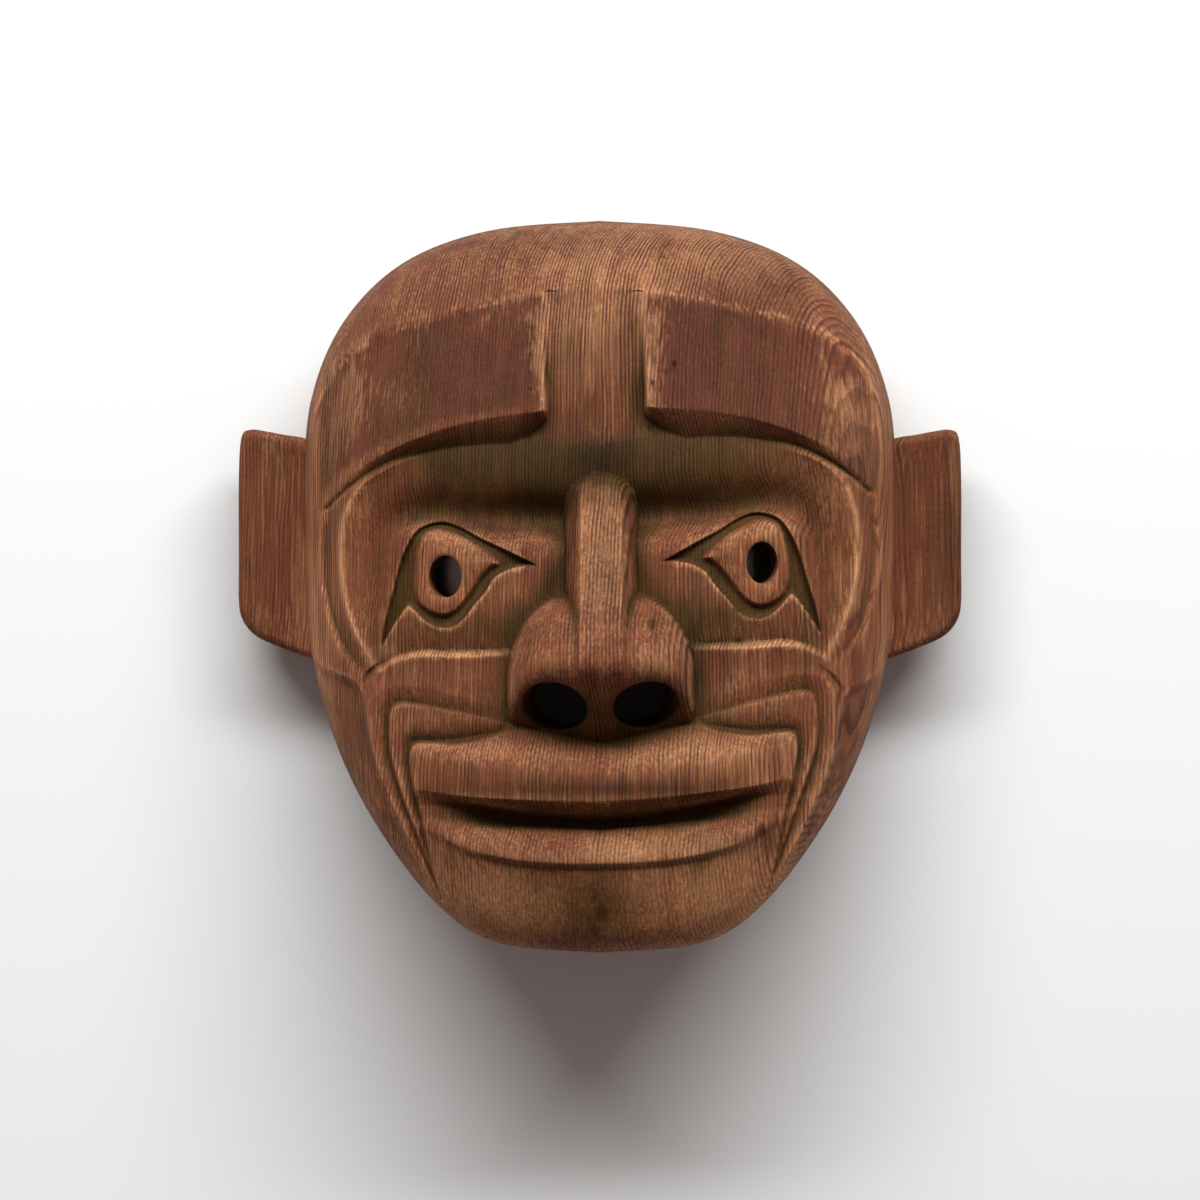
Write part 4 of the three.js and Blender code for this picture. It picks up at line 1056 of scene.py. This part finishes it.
def linear(code):
    """Linear colour of an sRGB hex code."""
    parts = [int(code[i:i + 2], 16) / 255 for i in (1, 3, 5)]
    return (*(c / 12.92 if c <= 0.04045 else ((c + 0.055) / 1.055) ** 2.4 for c in parts), 1.0)


def add(tree, kind, inputs, out=0, **settings):
    """Adds a node of a kind, with the operation named after it, and its settings. Puts a value or a link
    into each of the named or numbered inputs, and returns one of its outputs, if it has any."""
    kind, *operation = kind.split()
    node = tree.nodes.new("ShaderNode" + kind)
    if operation:
        node.operation = operation[0]
    for name, value in settings.items():
        setattr(node, name, value)
    for key, value in inputs.items() if isinstance(inputs, dict) else enumerate(inputs):
        if isinstance(value, bpy.types.NodeSocket):
            tree.links.new(value, node.inputs[key])
        else:
            node.inputs[key].default_value = value
    return node.outputs[out] if node.outputs else None


# Western red cedar, cut with knives along the grain, stained, and handled for years. Its narrow rings
# show as dark lines on a satin surface: purple-brown under the stain, orange-tan where that is worn and
# where painted highlights and painted light fall, and olive-brown in the recesses, partly stain and
# partly painted shade. Inside, the wood is plain and dull.
CEDAR = {
    "stained": ("#75452c", "#4a2822"),
    "plate": ("#603626", "#462619"),
    "worn_and_lit": ("#bc875e", "#683a31"),
    "olive_and_shade": ("#4a3318", "#302210"),
    "inside": ("#6d4a33", "#4e3323"),
}


def new_material(name):
    """Material with an empty node tree, and the tree."""
    material = bpy.data.materials.new(name)
    material.use_nodes = True
    material.node_tree.nodes.clear()
    return material, material.node_tree


def cedar_material():
    """Cedar's colour: early and late wood mixed ring by ring, in turn stained, worn with painted
    highlight, olive with painted shade, or inside.
    """
    material, tree = new_material("oiled_red_cedar")
    node = functools.partial(add, tree)

    # Place in millimetres, the same squeezed in several ways, and the textures read there
    place = node("VectorMath SCALE", {0: node("TexCoord", (), out=3), 3: 1 / MM})
    x, y = [node("SeparateXYZ", (place,), out=axis) for axis in (0, 1)]
    squeezed = {name: node("VectorMath MULTIPLY", (place, by)) for name, by in SQUEEZES.items()}
    texture = {}
    for name, (squeeze, size, detail, rough) in TEXTURES.items():
        inputs = {"Vector": squeezed[squeeze], "Scale": 1 / size, "Detail": detail, "Roughness": rough}
        texture[name] = node("TexNoise", inputs)
    shift = {}
    for name, (source, low, high) in SHIFTS.items():
        shift[name] = node("MapRange", (texture[source], *TEXTURE_SPAN, low, high))
    marks = {}
    for name in ("recess_stain_and_shade", "edge", "worn_and_lit", "olive_and_shade", "tone_light_and_shade", "grain", "plate", "inside"):
        marks[name] = node("Attribute", (), out=2, attribute_name=name)

    # Ring number: distance from the pith, with waves, and narrower rings towards the crown
    from_pith = node("VectorMath MULTIPLY_ADD", (place, (1, 0, 1), (-PITH[0], 0, -PITH[1])))
    distance = node("VectorMath LENGTH", (from_pith,), out=1)
    height = node("Math SUBTRACT", (y, RING_SPREAD_MIDDLE))
    reach = (-RING_SPREAD_REACH, RING_SPREAD_REACH)
    spread_by = node("Math MULTIPLY", (node("MapRange", (x, *reach, *reach)), height))
    distance = node("Math MULTIPLY_ADD", (spread_by, -RING_SPREAD, distance))
    for name, (size, width) in RING_WAVES.items():
        wave = node("TexNoise", {"Vector": squeezed[name], "Scale": 1 / width, "Detail": 1})
        wave = node("Math SUBTRACT", (wave, 0.5))
        distance = node("Math MULTIPLY_ADD", (wave, 4 * size, distance))
    ring = node("Math DIVIDE", (distance, RING_SPACING))
    share = node("Math FRACT", (ring,))
    odd = node("TexWhiteNoise", {"W": node("Math FLOOR", (ring,))}, noise_dimensions="1D")

    # Dark late wood: it comes up slowly through each ring and ends sharply. No two rings are alike.
    rise = node("MapRange", (share, *RING_RISE, 0, 1), interpolation_type="SMOOTHSTEP")
    fall = node("MapRange", (share, *RING_FALL, 1, 0), interpolation_type="SMOOTHSTEP")
    odd = node("MapRange", (odd, 0, 1, *RING_ODDS))
    strength = node("MapRange", (marks["grain"], 0, 1, *RING_STRENGTH))
    late = node("Math MULTIPLY", (rise, fall))
    late = node("Math MULTIPLY_ADD", (late, odd, shift["ragged"]), use_clamp=True)
    late = node("Math MULTIPLY", (late, strength))
    late = node("Math MULTIPLY", (late, shift["faint"]), use_clamp=True)

    # Wear goes through the stain in streaks, and less so on the plates; with it go painted highlights on
    # lit edges, crown, bridge and sides. Olive stain and painted shade lie in the recesses.
    through = node("MapRange", (texture["streak"], *THROUGH))
    wear_and_highlight = node("Math MULTIPLY_ADD", (marks["edge"], EDGE_WEAR_AND_HIGHLIGHT, marks["worn_and_lit"]))
    wear_and_highlight = node("Math ADD", (wear_and_highlight, shift["patchy"]))
    wear_and_highlight = node("Math ADD", (wear_and_highlight, through))
    wear_and_highlight = node("Math MULTIPLY_ADD", (marks["plate"], -PLATE_UNWORN, wear_and_highlight), use_clamp=True)
    olive_and_shade = node("Math ADD", (marks["recess_stain_and_shade"], marks["olive_and_shade"]))
    olive_and_shade = node("Math ADD", (olive_and_shade, shift["patchy"]), use_clamp=True)
    amounts = {"plate": marks["plate"], "worn_and_lit": wear_and_highlight, "olive_and_shade": olive_and_shade, "inside": marks["inside"]}
    wood = {}
    for name, (early_code, late_code) in CEDAR.items():
        inputs = {0: late, 6: linear(early_code), 7: linear(late_code)}
        wood[name] = node("Mix", inputs, out=2, data_type="RGBA")
    colour = wood["stained"]
    for name, amount in amounts.items():
        colour = node("Mix", {0: amount, 6: colour, 7: wood[name]}, out=2, data_type="RGBA")

    # Tone: paler and darker places, partly the wood's own tone and partly painted light and painted
    # shade, the textures, and small dark marks
    tone = node("MapRange", (marks["tone_light_and_shade"], 0, 1, *PALE_TONE))
    parts = []
    for name, swing in TONES.items():
        parts.append(node("MapRange", (texture[name], *TEXTURE_SPAN, 1 - swing, 1 + swing)))
    for spot_x, spot_y, radius, depth in SPOTS:
        middle = (-spot_x, SPOT_SQUEEZE * (ORIGIN_Y - spot_y), 0)
        apart = node("VectorMath MULTIPLY_ADD", (place, (1, SPOT_SQUEEZE, 0), middle))
        apart = node("VectorMath LENGTH", (apart,), out=1)
        edge = (0.5 * radius, 1.5 * radius, 1 - depth, 1)
        parts.append(node("MapRange", (apart, *edge), interpolation_type="SMOOTHSTEP"))
    for part in parts:
        tone = node("Math MULTIPLY", (tone, part))
    colour = node("VectorMath SCALE", {0: colour, 3: tone})

    # Surface: satin, with the grain standing a little proud
    relief = texture["fleck"]
    for source in (late, texture["fibre"]):
        relief = node("Math MULTIPLY_ADD", (source, RELIEF_SHARE, relief))
    bump = node("Bump", {"Strength": 0.8, "Distance": 0.0003, "Height": relief})
    surface = node("BsdfPrincipled", {
        "Base Color": colour, "Roughness": shift["rough"], "IOR": 1.46, "Specular IOR Level": 0.12,
        "Normal": bump,
    })
    node("OutputMaterial", (surface,))
    return material


# Mask
mask = make_piece("cedar_mask", head_surface())
thinning = mask.modifiers.new("thin", "DECIMATE")
thinning.ratio = HEAD_TRIANGLES / len(mask.data.polygons)
settle(mask)
for hand in (-1, 1):
    carve(mask, make_piece("ear", ear_surface(hand)), "UNION")
carve(mask, make_piece("hollow", hollow_surface()), "DIFFERENCE")
for hole in PUPILS + NOSTRILS:
    carve(mask, make_piece("hole", hole_surface(*hole)), "DIFFERENCE")

# Points that lie a tenth of a millimetre or so past the solid's own box go back onto it
inside = np.clip(points_of(mask.data), cad_low, cad_high)
mask.data.vertices.foreach_set("co", inside.astype(np.float32).ravel())
mask.data.update()
mask.data.shade_smooth()
mask.data.set_sharp_from_angle(angle=math.radians(SHARP_EDGE))
mark_patina(mask)
mask.data.materials.clear()
mask.data.materials.append(cedar_material())
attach(mask, "root")
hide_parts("mask")

# Floor: matt white paper, pale and even, so that only the mask's soft shadow shows on it
side = FLOOR_SIDE / 2
corners = [(-side, -side, FLOOR), (side, -side, FLOOR), (side, side, FLOOR), (-side, side, FLOOR)]
sheet = bpy.data.meshes.new("floor")
sheet.from_pydata(corners, [], [(0, 1, 2, 3)])
paper, tree = new_material("matt_white_paper")
look = {"Base Color": linear(FLOOR_COLOUR), "Roughness": FLOOR_ROUGHNESS}
add(tree, "OutputMaterial", (add(tree, "BsdfPrincipled", look),))
sheet.materials.append(paper)
floor = put("floor", sheet)

# Camera over the mask, as in the photo
lens = bpy.data.cameras.new("camera")
lens.lens = CAMERA_LENS
bpy.context.scene.camera = put("camera", lens, (0, CAMERA_Y, CAMERA_HEIGHT))

# Light: one large lamp beyond the crown, an even pale room, and a glimmer on the floor behind each eye
tilt = math.radians(90 - KEY_ELEVATION)
lamp = bpy.data.lights.new("key", "AREA")
lamp.shape = "RECTANGLE"
lamp.size, lamp.size_y = KEY_SIZE
lamp.energy = KEY_POWER
put("key", lamp, (KEY_SIDE, KEY_DISTANCE * math.sin(tilt), KEY_DISTANCE * math.cos(tilt)),
    (-tilt, math.atan2(KEY_SIDE, KEY_DISTANCE), 0))
for hand in (-1, 1):
    lamp = bpy.data.lights.new("behind_eye", "SPOT")
    lamp.energy = BEHIND_EYE_POWER
    lamp.spot_size = math.radians(BEHIND_EYE_CONE)
    lamp.spot_blend = 0.1
    lamp.shadow_soft_size = 0.002
    lamp.color = linear(BEHIND_EYE_COLOUR)[:3]
    put("behind_eye", lamp, (hand * BEHIND_EYE[0], *BEHIND_EYE[1:]))
room = bpy.data.worlds.new("room")
room.use_nodes = True
sky = room.node_tree.nodes["Background"].inputs
sky["Color"].default_value = linear(ROOM_COLOUR)
sky["Strength"].default_value = ROOM_STRENGTH
bpy.context.scene.world = room
bpy.context.scene.view_settings.view_transform = "Standard"
